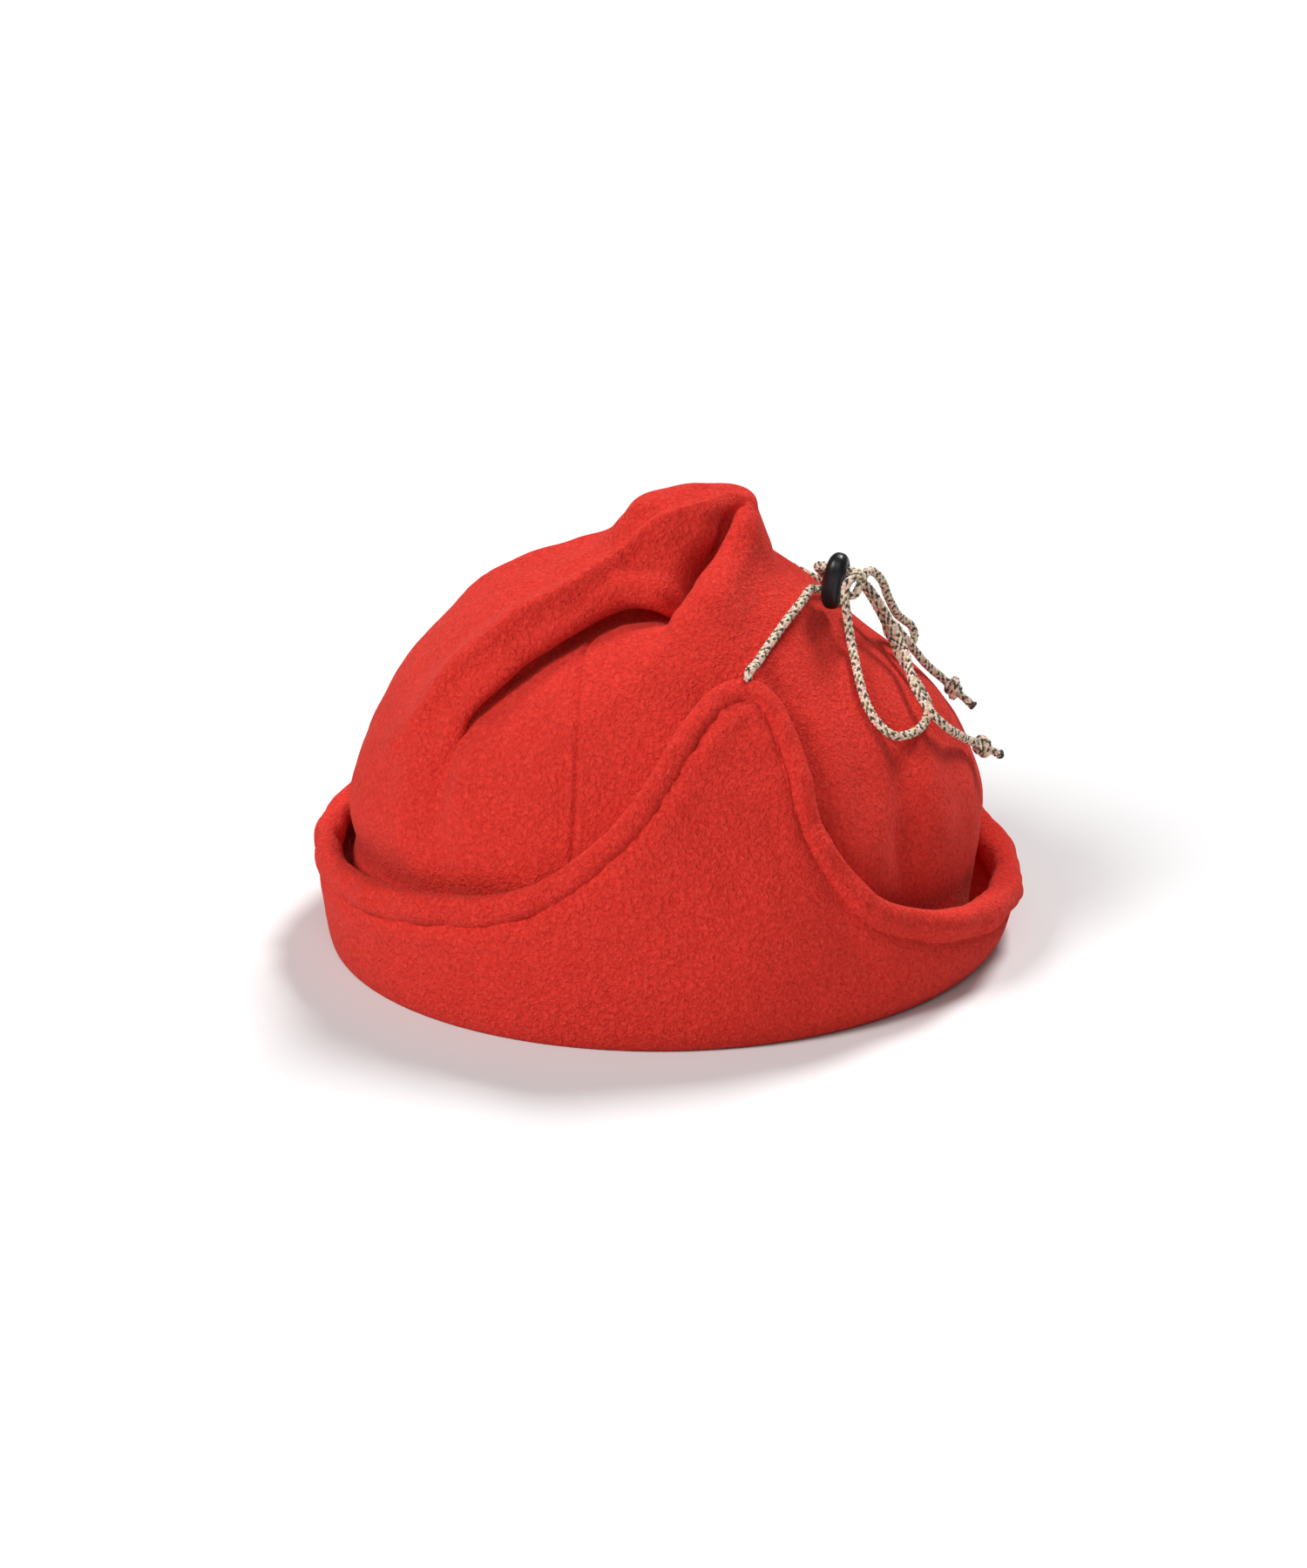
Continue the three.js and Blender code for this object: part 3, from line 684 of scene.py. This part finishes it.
def smooth_route(route):
    """A centripetal curve through a cord's points, as closely spaced points."""
    points = np.array(route)
    first = 2 * points[0] - points[1]
    last = 2 * points[-1] - points[-2]
    padded = np.vstack([first, points, last])
    line = []
    for p0, p1, p2, p3 in zip(padded, padded[1:], padded[2:], padded[3:]):
        t1 = np.linalg.norm(p1 - p0) ** 0.5
        t2 = t1 + np.linalg.norm(p2 - p1) ** 0.5
        t3 = t2 + np.linalg.norm(p3 - p2) ** 0.5
        t = np.linspace(t1, t2, SPAN_STEPS, endpoint=False)[:, None]
        a1 = (t1 - t) / t1 * p0 + t / t1 * p1
        a2 = (t2 - t) / (t2 - t1) * p1 + (t - t1) / (t2 - t1) * p2
        a3 = (t3 - t) / (t3 - t2) * p2 + (t - t2) / (t3 - t2) * p3
        b1 = (t2 - t) / t2 * a1 + t / t2 * a2
        b2 = (t3 - t) / (t3 - t1) * a2 + (t - t1) / (t3 - t1) * a3
        line.append((t2 - t) / (t2 - t1) * b1 + (t - t1) / (t2 - t1) * b2)
    line.append(points[-1:])
    return np.vstack(line)


def even_steps(line, step):
    """The same line at even steps, and its length."""
    along = np.concatenate([[0], np.cumsum(np.linalg.norm(np.diff(line, axis=0), axis=1))])
    count = max(2, round(along[-1] / step) + 1)
    places = np.linspace(0, along[-1], count)
    return np.column_stack([np.interp(places, along, line[:, k]) for k in range(3)]), along[-1]


def line_frames(line):
    """Two steady directions across a line."""
    tangents = unit(np.gradient(line, axis=0))
    across = np.cross(tangents[0], OFF_AXIS)
    normals = []
    for tangent in tangents:
        across = across - tangent * (across @ tangent)
        across = across / np.linalg.norm(across)
        normals.append(across)
    normals = np.array(normals)
    return normals, np.cross(tangents, normals)


def tube(centres, side, out, half_side, half_out, sides, start):
    """Points and faces of a closed tube of oval section along centres."""
    turns = np.linspace(0, 2 * math.pi, sides, endpoint=False)
    points = (
        centres[:, None]
        + side[:, None] * (half_side * np.cos(turns))[None, :, None]
        + out[:, None] * (half_out * np.sin(turns))[None, :, None]
    ).reshape(-1, 3)
    faces = grid_faces(len(centres), sides, start)
    last = start + (len(centres) - 1) * sides
    faces.append(tuple(range(start + sides - 1, start - 1, -1)))
    faces.append(tuple(range(last, last + sides)))
    return points, faces


def braid(line, radius_share=1.0):
    """A round braid along a line: points, faces and each face's strand, the core being strand 0."""
    normals, sides = line_frames(line)
    along = np.concatenate([[0], np.cumsum(np.linalg.norm(np.diff(line, axis=0), axis=1))])
    core = CORE_RADIUS * radius_share
    points, faces = tube(line, normals, sides, core, core, CORE_SIDES, 0)
    all_points, all_faces, strands = [points], list(faces), [0] * len(faces)
    count = len(points)
    for hand in (1, -1):
        for strand in range(BRAID_STRANDS):
            angle = 2 * math.pi * (strand / BRAID_STRANDS + hand * along / BRAID_PITCH)
            reach = (BRAID_RADIUS + hand * BRAID_WAVE * np.cos(BRAID_RIBS * angle)) * radius_share
            out = normals * np.cos(angle)[:, None] + sides * np.sin(angle)[:, None]
            centres = line + out * reach[:, None]
            heading = unit(np.gradient(centres, axis=0))
            flat = unit(np.cross(heading, out))
            width, thick = STRAND_WIDTH * radius_share, STRAND_THICK * radius_share
            points, faces = tube(centres, flat, out, width, thick, STRAND_SIDES, count)
            all_points.append(points)
            all_faces += faces
            strands += [1 + strand + (BRAID_STRANDS if hand < 0 else 0)] * len(faces)
            count += len(points)
    return np.vstack(all_points), all_faces, strands


def add_yarns(piece, strands):
    """Gives each face of a braid its strand's yarn."""
    names = list(dict.fromkeys(YARNS))
    for name in names:
        piece.data.materials.append(yarn(name))
    piece.data.polygons.foreach_set("material_index", [names.index(YARNS[s]) for s in strands])


def end_frame(line, steps):
    """The way a line runs over its last steps, and two directions across it."""
    heading = unit(line[-1] - line[-1 - steps])
    across = unit(np.cross(heading, UPWARD))
    return heading, across, np.cross(heading, across)


def make_knot(name, line, node):
    """An overhand knot past a cord's end: the cord wound round its own tail, which is cut and melted."""
    end = line[-1]
    heading, across, third = end_frame(line, KNOT_HEADING_STEPS)
    share = np.linspace(0, 1, KNOT_STEPS)
    turn = 2 * math.pi * KNOT_TURNS * share
    swell = np.sin(np.pi * share) ** KNOT_FULLNESS
    lean = KNOT_LEAN * np.sin(turn)
    wound = (
        end
        + heading * (KNOT_LENGTH * (KNOT_START + KNOT_REACH * share) + lean)[:, None]
        + across * (KNOT_RADIUS * swell * np.cos(turn))[:, None]
        + third * (KNOT_RADIUS * swell * np.sin(turn))[:, None]
    )
    tail_line = end + heading * np.linspace(-TAIL_INSIDE, KNOT_LENGTH + TAIL_LENGTH, TAIL_STEPS)[:, None]
    tail_line += across * (TAIL_BOW * np.linspace(0, 1, TAIL_STEPS) ** 2)[:, None]
    points, faces, strands = braid(even_steps(wound, BRAID_STEP)[0])
    more, tail_faces, tail_strands = braid(even_steps(tail_line, BRAID_STEP)[0], TAIL_SHARE)
    faces += [tuple(k + len(points) for k in face) for face in tail_faces]
    knot = make_piece(name, np.vstack([points, more]), faces, [node])
    add_yarns(knot, strands + tail_strands)
    return knot, tail_line


def make_tip(name, tail_line):
    """The melted end of a cord: a dark, rounded bead."""
    heading, across, third = end_frame(tail_line, TIP_HEADING_STEPS)
    share = np.linspace(0, 1, TIP_ROWS)
    radii = TIP_RADIUS * np.sqrt(np.clip(1 - (2 * share - 1) ** 2, 0, 1)) ** TIP_BLUNTNESS
    turns = np.linspace(0, 2 * math.pi, TIP_SIDES, endpoint=False)
    uneven = 1 + TIP_UNEVEN * np.sin(TIP_LUMPS * turns + TIP_LUMP_TURN)
    ring = across * (np.cos(turns) * uneven)[:, None] + third * (np.sin(turns) * uneven)[:, None]
    centres = tail_line[-1] + heading * (TIP_LENGTH * (share - TIP_SUNK))[:, None]
    points = (centres[1:-1, None] + ring[None] * radii[1:-1, None, None]).reshape(-1, 3)
    faces = grid_faces(TIP_ROWS - 2, TIP_SIDES)
    faces.append(tuple(range(TIP_SIDES - 1, -1, -1)))
    faces.append(tuple(range(len(points) - TIP_SIDES, len(points))))
    tip = make_piece(name, points, faces)
    tip.data.materials.append(yarn("dark"))
    return tip


def make_cord(name, route):
    """A braided cord along its route, sewn into the hem at its start and knotted at its end."""
    sewn = np.array(route[0]) + CORD_SEWN_IN * np.array((np.sign(route[0][0]), 1, 1))
    path, length = even_steps(smooth_route([sewn, *route]), BRAID_STEP)
    points, faces, strands = braid(path)
    cord = make_piece(name + "_braid", points, faces, [name])
    add_yarns(cord, strands)
    side = name.split("_")[0]
    knot, tail_line = make_knot(side + "_knot_wound", path, side + "_knot")
    tip = make_tip(side + "_knot_tip", tail_line)


# Cloth surfaces, in millimetres


def table_at(rows, share):
    """Every column of a table at shares of the way through its rows, by a smooth curve."""
    table = np.asarray(rows, float)
    last = len(table) - 1
    place = np.clip(np.asarray(share, float), 0, 1) * last
    index = np.minimum(place.astype(int), last - 1)
    u = (place - index)[..., None]
    a, b, c, d = (table[np.clip(index + step, 0, last)] for step in (-1, 0, 1, 2))
    slope = (c - a) * u
    bend = (2 * a - 5 * b + 4 * c - d) * u**2
    turn = (3 * b - a - 3 * c + d) * u**3
    return b + 0.5 * (slope + bend + turn)


def share_at(rows, values):
    """Shares of the way through a table at which its rising first column reaches values."""
    column = np.asarray(rows, float)[:, 0]
    return np.interp(values, column, np.linspace(0, 1, len(column)))


def stations(stretches):
    """All the steps of some stretches, end to end."""
    return np.concatenate([np.linspace(a, b, steps, endpoint=False) for a, b, steps in stretches])


def oval(levels, angle):
    """Points on the ovals of levels: height, front, back, half width."""
    turn = np.radians(angle)
    z, front, back, half = np.moveaxis(levels, -1, 0)
    y = (front + back) / 2 + (back - front) / 2 * np.sin(turn)
    return np.stack(np.broadcast_arrays(half * np.cos(turn), y, z), axis=-1)


def dome(angle, rise):
    """Points of the crown without its folds."""
    return oval(table_at(CROWN_ROWS, rise), angle)


def dome_normal(angle, rise):
    """The way out of the crown without its folds."""
    level = np.minimum(rise, 1 - 2 * SLOPE_RISE)
    across = dome(angle + SLOPE_ANGLE, level) - dome(angle - SLOPE_ANGLE, level)
    along = dome(angle, level + SLOPE_RISE) - dome(angle, level - SLOPE_RISE)
    return unit(np.cross(across, along))


def nearest_on(line, points):
    """The nearest place on a line for each point: step before it, share of that step, distance, all gaps."""
    gaps = np.linalg.norm(points[:, None] - line[None], axis=2)
    nearest = gaps.argmin(axis=1)
    best = None
    for step in (-1, 0):
        at = np.clip(nearest + step, 0, len(line) - 2)
        start, span = line[at], line[at + 1] - line[at]
        share = np.clip(((points - start) * span).sum(1) / (span**2).sum(1), 0, 1)
        distance = np.linalg.norm(points - start - span * share[:, None], axis=1)
        if best is None:
            best = [at, share, distance]
            continue
        better = distance < best[2]
        best = [np.where(better, new, old) for new, old in zip((at, share, distance), best)]
    return (*best, gaps)


def fold_shift(fold, points, normals):
    """How far a fold moves points of the crown."""
    rows, profile, hand, _ = fold
    sizes = table_at(rows, np.linspace(0, 1, FOLD_STEPS + 1))
    line = dome(sizes[:, 0], sizes[:, 1])
    ways = unit(np.cross(dome_normal(sizes[:, 0], sizes[:, 1]), np.gradient(line, axis=0)))
    shift = np.zeros_like(points)
    reach = profile[-1][0] * sizes[:, 2].max()
    low, high = line.min(0) - reach, line.max(0) + reach
    chosen = np.flatnonzero(((points > low) & (points < high)).all(axis=1))
    for part in np.array_split(chosen, max(1, len(chosen) // FOLD_CHUNK)):
        at, share, distance, gaps = nearest_on(line, points[part])
        mix = share[:, None]
        size = sizes[at] * (1 - mix) + sizes[at + 1] * mix
        foot = line[at] * (1 - mix) + line[at + 1] * mix
        way = ways[at] * (1 - mix) + ways[at + 1] * mix
        beside = np.sign(((points[part] - foot) * way).sum(1))
        width, depth, hang = size[:, 2], size[:, 3], size[:, 4]
        place = hand * beside * distance / width
        weights = np.exp((distance[:, None] ** 2 - gaps**2) / FOLD_BLEND**2)
        across = unit(weights @ ways)
        _, side, out = table_at(profile, share_at(profile, place)).T
        sideways = hand * hang * width * (side - place)
        move = across * sideways[:, None] + normals[part] * (depth * out)[:, None]
        move[np.abs(place) >= profile[-1][0]] = 0
        shift[part] = move
    return shift


def soft_noise(points, wavelength, seed):
    """Smooth unevenness about 1 high over points, from seeded waves."""
    rng = np.random.default_rng(seed)
    ways = unit(rng.normal(size=(WAVES, 3)))
    lengths = wavelength * rng.uniform(*WAVE_SPREAD, WAVES)
    phases = rng.uniform(0, 2 * math.pi, WAVES)
    total = np.zeros(points.shape[:-1])
    for way, length, phase in zip(ways, lengths, phases):
        total += np.sin(points @ way * (2 * math.pi / length) + phase)
    return total * math.sqrt(2 / WAVES)


def grid_normals(points):
    """Normals of a grid of points, rows up the cloth and closed columns round it."""
    across = np.roll(points, -1, axis=1) - np.roll(points, 1, axis=1)
    along = np.gradient(points, axis=0)
    return unit(np.cross(across, along))


def relax(points, times):
    """Smooths a grid that is closed round its columns, keeping its first and last rows."""
    for _ in range(times):
        sides = np.roll(points, 1, axis=1) + np.roll(points, -1, axis=1)
        middle = (sides[1:-1] + points[:-2] + points[2:]) / 4
        points[1:-1] += RELAX_SHARE * (middle - points[1:-1])
    return points


def folded_crown():
    """The crown's outer face as a grid: rows from the lower edge up, columns round it."""
    rises, angles = stations(CROWN_RISES), stations(CROWN_ANGLES)
    rise, angle = (grid.ravel() for grid in np.meshgrid(rises, angles, indexing="ij"))
    points, normals = dome(angle, rise), dome_normal(angle, rise)
    shift = np.zeros_like(points)
    for fold in FOLDS:
        shift += fold_shift(fold, points, normals)
        shift += fold_shift(fold, points * MIRROR, normals * MIRROR) * MIRROR * fold[3]
    calm = np.clip((1 - rise) / SUMMIT_CALM, 0, 1)[:, None]
    moved = points + shift * calm**2 * (3 - 2 * calm)
    grid = relax(moved.reshape(len(rises), len(angles), 3), CROWN_SMOOTHING)
    outward = grid_normals(grid)
    swell = SWELL[1] * CROWN_SWELL * soft_noise(grid, SWELL[0], CROWN_SEEDS[0])
    lumps = LUMPS[1] * soft_noise(grid, LUMPS[0], CROWN_SEEDS[1])
    fade = np.clip(rises * CROWN_GROWTH, 0, 1)[:, None]
    grid += outward * ((swell + lumps) * fade)[..., None]
    return sew_seams(grid, outward, points.reshape(grid.shape))


def sew_seams(grid, outward, unfolded):
    """Draws the cloth in along the crown's two side seams."""
    rows = table_at(SEAM_ROWS, np.linspace(0, 1, SEAM_STEPS))
    line = dome(rows[:, 0], rows[:, 1])
    for mirror in (np.ones(3), MIRROR):
        flat = (unfolded * mirror).reshape(-1, 3)
        close = np.flatnonzero(np.abs(flat - line.mean(0)).max(axis=1) < SEAM_REACH)
        at, share, distance, _ = nearest_on(line, flat[close])
        along = (at + share) / (len(line) - 1)
        fade = np.clip(along * SEAM_FADE, 0, 1)
        dip = np.zeros(len(flat))
        ridge = SEAM_RIDGE * np.exp(-((distance / SEAM_WIDTH - SEAM_RIDGE_PLACE) ** 2))
        dip[close] = SEAM_DEPTH * fade * (ridge - np.exp(-((distance / SEAM_WIDTH) ** 2)))
        grid += outward * dip.reshape(grid.shape[:2])[..., None]
    return grid


def make_crown():
    """The crown as a closed wall, its inner face with half the rows and columns of its outer face."""
    outer = folded_crown()
    rows, columns = outer.shape[:2]
    inner = outer[::2, ::2] - FLEECE * grid_normals(relax(outer.copy(), BACKING_SMOOTHING))[::2, ::2]
    inner[0, :, 2] = outer[0, ::2, 2]
    inner = relax(inner, INSIDE_SMOOTHING)
    summit, below = outer[-1:].mean(axis=1), inner[-1:].mean(axis=1)
    points = np.vstack([outer.reshape(-1, 3), summit, inner.reshape(-1, 3), below])
    top, ring = rows * columns, (rows - 1) * columns
    faces = grid_faces(rows, columns)
    faces += [(ring + j, ring + (j + 1) % columns, top) for j in range(columns)]
    within, few = top + 1, columns // 2
    faces += [face[::-1] for face in grid_faces(inner.shape[0], few, within)]
    last = within + (inner.shape[0] - 1) * few
    under = within + inner.shape[0] * few
    faces += [(last + (j + 1) % few, last + j, under) for j in range(few)]
    for j in range(few):
        k = (j + 1) % few
        a, b, c = 2 * j, 2 * j + 1, (2 * j + 2) % columns
        faces += [(a, within + j, b), (b, within + j, within + k), (b, within + k, c)]
    return make_piece("crown_cloth", points * MM, faces, ["crown"])


def cuff_level(z):
    """The sizes of the cuff's oval at heights."""
    levels = table_at(CUFF_ROWS, share_at(CUFF_ROWS, z))
    levels[..., 0] = z
    return levels


def cuff_face(angle, z, out=0.0):
    """The cuff's outer face at angles and heights, moved out along its normal."""
    face = oval(cuff_level(z), angle)
    across = oval(cuff_level(z), angle + SLOPE_ANGLE) - oval(cuff_level(z), angle - SLOPE_ANGLE)
    lower = np.maximum(z - SLOPE_HEIGHT, 0)
    along = oval(cuff_level(z + SLOPE_HEIGHT), angle) - oval(cuff_level(lower), angle)
    return face + unit(np.cross(across, along)) * np.asarray(out)[..., None]


def on_cuff(places, out):
    """The points of the cuff's outer face nearest places at their height, moved out."""
    _, front, back, half = np.moveaxis(cuff_level(places[..., 2]), -1, 0)
    turn = np.arctan2((2 * places[..., 1] - front - back) / (back - front), places[..., 0] / half)
    return cuff_face(np.degrees(turn), places[..., 2], out)


def rim_columns(count):
    """The rows of the rim all the way round, the far half's with its own heights."""
    near = table_at(RIM_ROWS, np.linspace(0, 1, count + 1))
    far = near[-2:0:-1].copy()
    far[:, :2] = 180 - far[:, :2]
    far[:, 2] = far[:, 3]
    return np.vstack([near, far])


def rim_frames(count):
    """The cuff's upper edge: its points, its way up the cloth and the stitches' pull along it."""
    _, angle, height = rim_columns(count)[:, :3].T
    edge = cuff_face(angle, height)
    along = np.roll(edge, -1, axis=0) - np.roll(edge, 1, axis=0)
    normal = cuff_face(angle, height, np.ones_like(angle)) - edge
    travelled = np.cumsum(np.linalg.norm(along, axis=1) / 2)
    stitches = round(travelled[-1] / STITCH_STEP)
    pull = np.cos(2 * math.pi * stitches * travelled / travelled[-1])
    return edge, unit(np.cross(normal, along)), 1 + STITCH_SHARE * pull


def distance_to(line, points):
    """Distances from a grid of points to the nearest point of a close-set line."""
    flat = points.reshape(-1, 3)
    parts = np.array_split(flat, len(flat) // DISTANCE_CHUNK + 1)
    gaps = [np.linalg.norm(part[:, None] - line[None], axis=2).min(axis=1) for part in parts]
    return np.concatenate(gaps).reshape(points.shape[:-1])


def cuff_outside(turn, z):
    """The cuff's uneven outer face, puffed below the rim and drawn in along its stitched groove."""
    face = cuff_face(turn, z)
    below = distance_to(rim_frames(HEM_COLUMNS)[0], face)
    pull = rim_frames(CUFF_COLUMNS)[2]
    fade = np.clip(z / FLOOR_CALM, 0, 1) * np.clip(below / RIM_CALM, 0, 1)
    groove = GROOVE_DEPTH * pull * np.exp(-((below / GROOVE_WIDTH) ** 2))
    puff = PUFF_HEIGHT * np.exp(-(((below - PUFF_PLACE) / PUFF_WIDTH) ** 2))
    near_rim = np.exp(-((below / PUCKER_REACH) ** 2))
    swell = SWELL[1] * soft_noise(face, SWELL[0], CUFF_SEEDS[0]) * fade
    lumps = LUMPS[1] * soft_noise(face, LUMPS[0], CUFF_SEEDS[1]) * fade
    pucker = PUCKER[1] * soft_noise(face, PUCKER[0], CUFF_SEEDS[2]) * near_rim
    return cuff_face(turn, z, swell + lumps + pucker + puff - groove)


def foot_ring(base, inset, level):
    """A ring of the cuff's foot at a level, set in from the outer face."""
    ring = cuff_face(base, np.full_like(base, level), -inset * np.ones_like(base))
    ring[:, 2] = level
    return ring[None]


def cuff_foot(base):
    """The cloth turned in on the floor: over it, round its rolled edge, under it and up the bend."""
    turn_in = np.interp(np.sin(np.radians(base)), (-1, 1), TURN_IN)
    middle = (turn_in + TURN_UNDER) / 2
    edge = FLEECE / 2
    over = [foot_ring(base, inset, FLEECE) for inset in (turn_in + FLEECE, middle)]
    rolled = [
        foot_ring(base, TURN_UNDER + edge * math.sin(a), edge * (1 - math.cos(a)))
        for a in np.radians(ROLL_ANGLES)
    ]
    quarter = np.radians(np.linspace(90, 0, BEND_STEPS + 1)[:-1])
    bend = [foot_ring(base, turn_in * (1 - math.cos(a)), TURN_RISE * (1 - math.sin(a))) for a in quarter]
    return [*over, *rolled, foot_ring(base, middle, 0), *bend]


def make_cuff():
    """Up the outer face to the stitched groove, down the inner face, and turned in flat on the floor."""
    base, angle, height = rim_columns(CUFF_COLUMNS)[:, :3].T
    share = 1 - (1 - np.linspace(0, 1, CUFF_LEVELS + 1)[:, None]) ** CUFF_CROWDING
    outer = cuff_outside(base + (angle - base) * share**2, TURN_RISE + (height - TURN_RISE) * share)
    few = share[::CUFF_INSIDE_EVERY][::-1]
    inner = cuff_face(base + (angle - base) * few**2, TURN_RISE + (height - TURN_RISE) * few, -FLEECE)
    return make_ring("cuff_cloth", np.concatenate([outer, inner, *cuff_foot(base)]), "cuff")


def make_ring(name, grid, node):
    """A closed ring of cloth from a grid whose rows and columns both go round."""
    rows, columns = grid.shape[:2]
    last = (rows - 1) * columns
    faces = grid_faces(rows, columns)
    faces += [(last + j, last + (j + 1) % columns, (j + 1) % columns, j) for j in range(columns)]
    return make_piece(name, grid.reshape(-1, 3) * MM, faces, [node])


def make_hem():
    """A puffy strip along the cuff's upper edge, its section square to the edge and sunk into the groove."""
    tall, thick, proud = rim_columns(HEM_COLUMNS)[:, 4:].T[..., None]
    edge, up, pull = rim_frames(HEM_COLUMNS)
    rise, out = table_at(HEM_SECTION, np.linspace(0, 1, HEM_SIDES, endpoint=False)).T
    places = edge[:, None] + up[:, None] * (tall * rise)[..., None]
    lumps = HEM_LUMPS[1] * soft_noise(places, HEM_LUMPS[0], HEM_SEEDS[0])
    pucker = PUCKER[1] * soft_noise(places, PUCKER[0], HEM_SEEDS[1])
    puff = 1 + HEM_PUFF[1] * soft_noise(places, HEM_PUFF[0], HEM_SEEDS[2])
    proud = HEM_LEVEL * proud
    drawn = STITCH_SHARE * (pull[:, None] - 1) * np.exp(-((rise / STITCH_REACH) ** 2))
    middle = proud - thick / 2
    bulge = thick / 2 * out * puff + (lumps + pucker) * np.sign(out) - drawn * (out > 0)
    return make_ring("hem_cloth", on_cuff(places, middle + bulge), "hem")


# Cord lock


def make_lock():
    """The stopper: a rounded oval bead, dimpled where the cords go in and out of its two holes."""
    lean, turn = math.radians(LOCK_LEAN), math.radians(LOCK_TURN)
    through = np.array((math.sin(turn) * math.cos(lean), math.cos(turn) * math.cos(lean), -math.sin(lean)))
    aside = unit(np.cross(through, UPWARD))
    long = np.cross(aside, through)
    polar = np.linspace(0, math.pi, LOCK_ROWS)[1:-1, None]
    round_it = np.linspace(0, 2 * math.pi, LOCK_SIDES, endpoint=False)[None]
    ring = np.sin(polar)
    sphere = np.broadcast_arrays(ring * np.cos(round_it), ring * np.sin(round_it), np.cos(polar))
    ball = np.stack(sphere, axis=-1).reshape(-1, 3)
    ball = np.vstack([ball, (0, 0, 1), (0, 0, -1)])
    squareness = (np.abs(ball) ** LOCK_SQUARENESS).sum(axis=1, keepdims=True) ** (-1 / LOCK_SQUARENESS)
    local = ball * squareness * LOCK_HALF
    for height in (-LOCK_HOLE_HEIGHT, LOCK_HOLE_HEIGHT):
        off = np.hypot(local[:, 0], local[:, 2] - height)
        local[:, 1] *= 1 - LOCK_DIMPLE * np.exp(-((off / LOCK_HOLE_RADIUS) ** LOCK_DIMPLE_EDGE))
    points = np.array(LOCK_PLACE) + local @ np.array((aside, through, long))
    rows = LOCK_ROWS - 2
    faces = [face[::-1] for face in grid_faces(rows, LOCK_SIDES)]
    top, last = rows * LOCK_SIDES, (rows - 1) * LOCK_SIDES
    faces += [(j, (j + 1) % LOCK_SIDES, top) for j in range(LOCK_SIDES)]
    faces += [(last + (j + 1) % LOCK_SIDES, last + j, top + 1) for j in range(LOCK_SIDES)]
    return make_piece("lock_moulded", points, faces, ["cord_lock"])


# Stage


def make_floor():
    """A plain pale floor."""
    corners = [(-1, -1), (1, -1), (1, 1), (-1, 1)]
    mesh = bpy.data.meshes.new("floor")
    mesh.from_pydata([(FLOOR_HALF * x, FLOOR_HALF * y, 0) for x, y in corners], [], [(0, 1, 2, 3)])
    floor = bpy.data.objects.new("floor", mesh)
    bpy.context.scene.collection.objects.link(floor)
    material = bpy.data.materials.new("floor_white")
    material.use_nodes = True
    set_inputs(material.node_tree.nodes["Principled BSDF"], FLOOR_FINISH)
    mesh.materials.append(material)


def add_sun(name, strength, toward, spread):
    """A distant soft light that shines from a direction."""
    data = bpy.data.lights.new(name, "SUN")
    data.energy = strength
    data.angle = math.radians(spread)
    light = bpy.data.objects.new(name, data)
    light.rotation_euler = Vector(toward).to_track_quat("Z", "Y").to_euler()
    bpy.context.scene.collection.objects.link(light)


def light_scene():
    """An even white sky and soft suns."""
    world = bpy.data.worlds.new("studio")
    world.use_nodes = True
    background = world.node_tree.nodes["Background"]
    background.inputs["Color"].default_value = (1, 1, 1, 1)
    background.inputs["Strength"].default_value = SKY
    bpy.context.scene.world = world
    for name, strength, toward, spread in SUNS:
        add_sun(name, strength, toward, spread)
    bpy.context.scene.view_settings.view_transform = "Standard"


make_camera()
make_cord("near_cord", NEAR_ROUTE)
make_cord("far_cord", FAR_ROUTE)
fleece = fleece_material()
for cloth in (make_crown(), make_cuff(), make_hem()):
    cloth.data.materials.append(fleece)
make_lock().data.materials.append(lock_material())
make_floor()
light_scene()
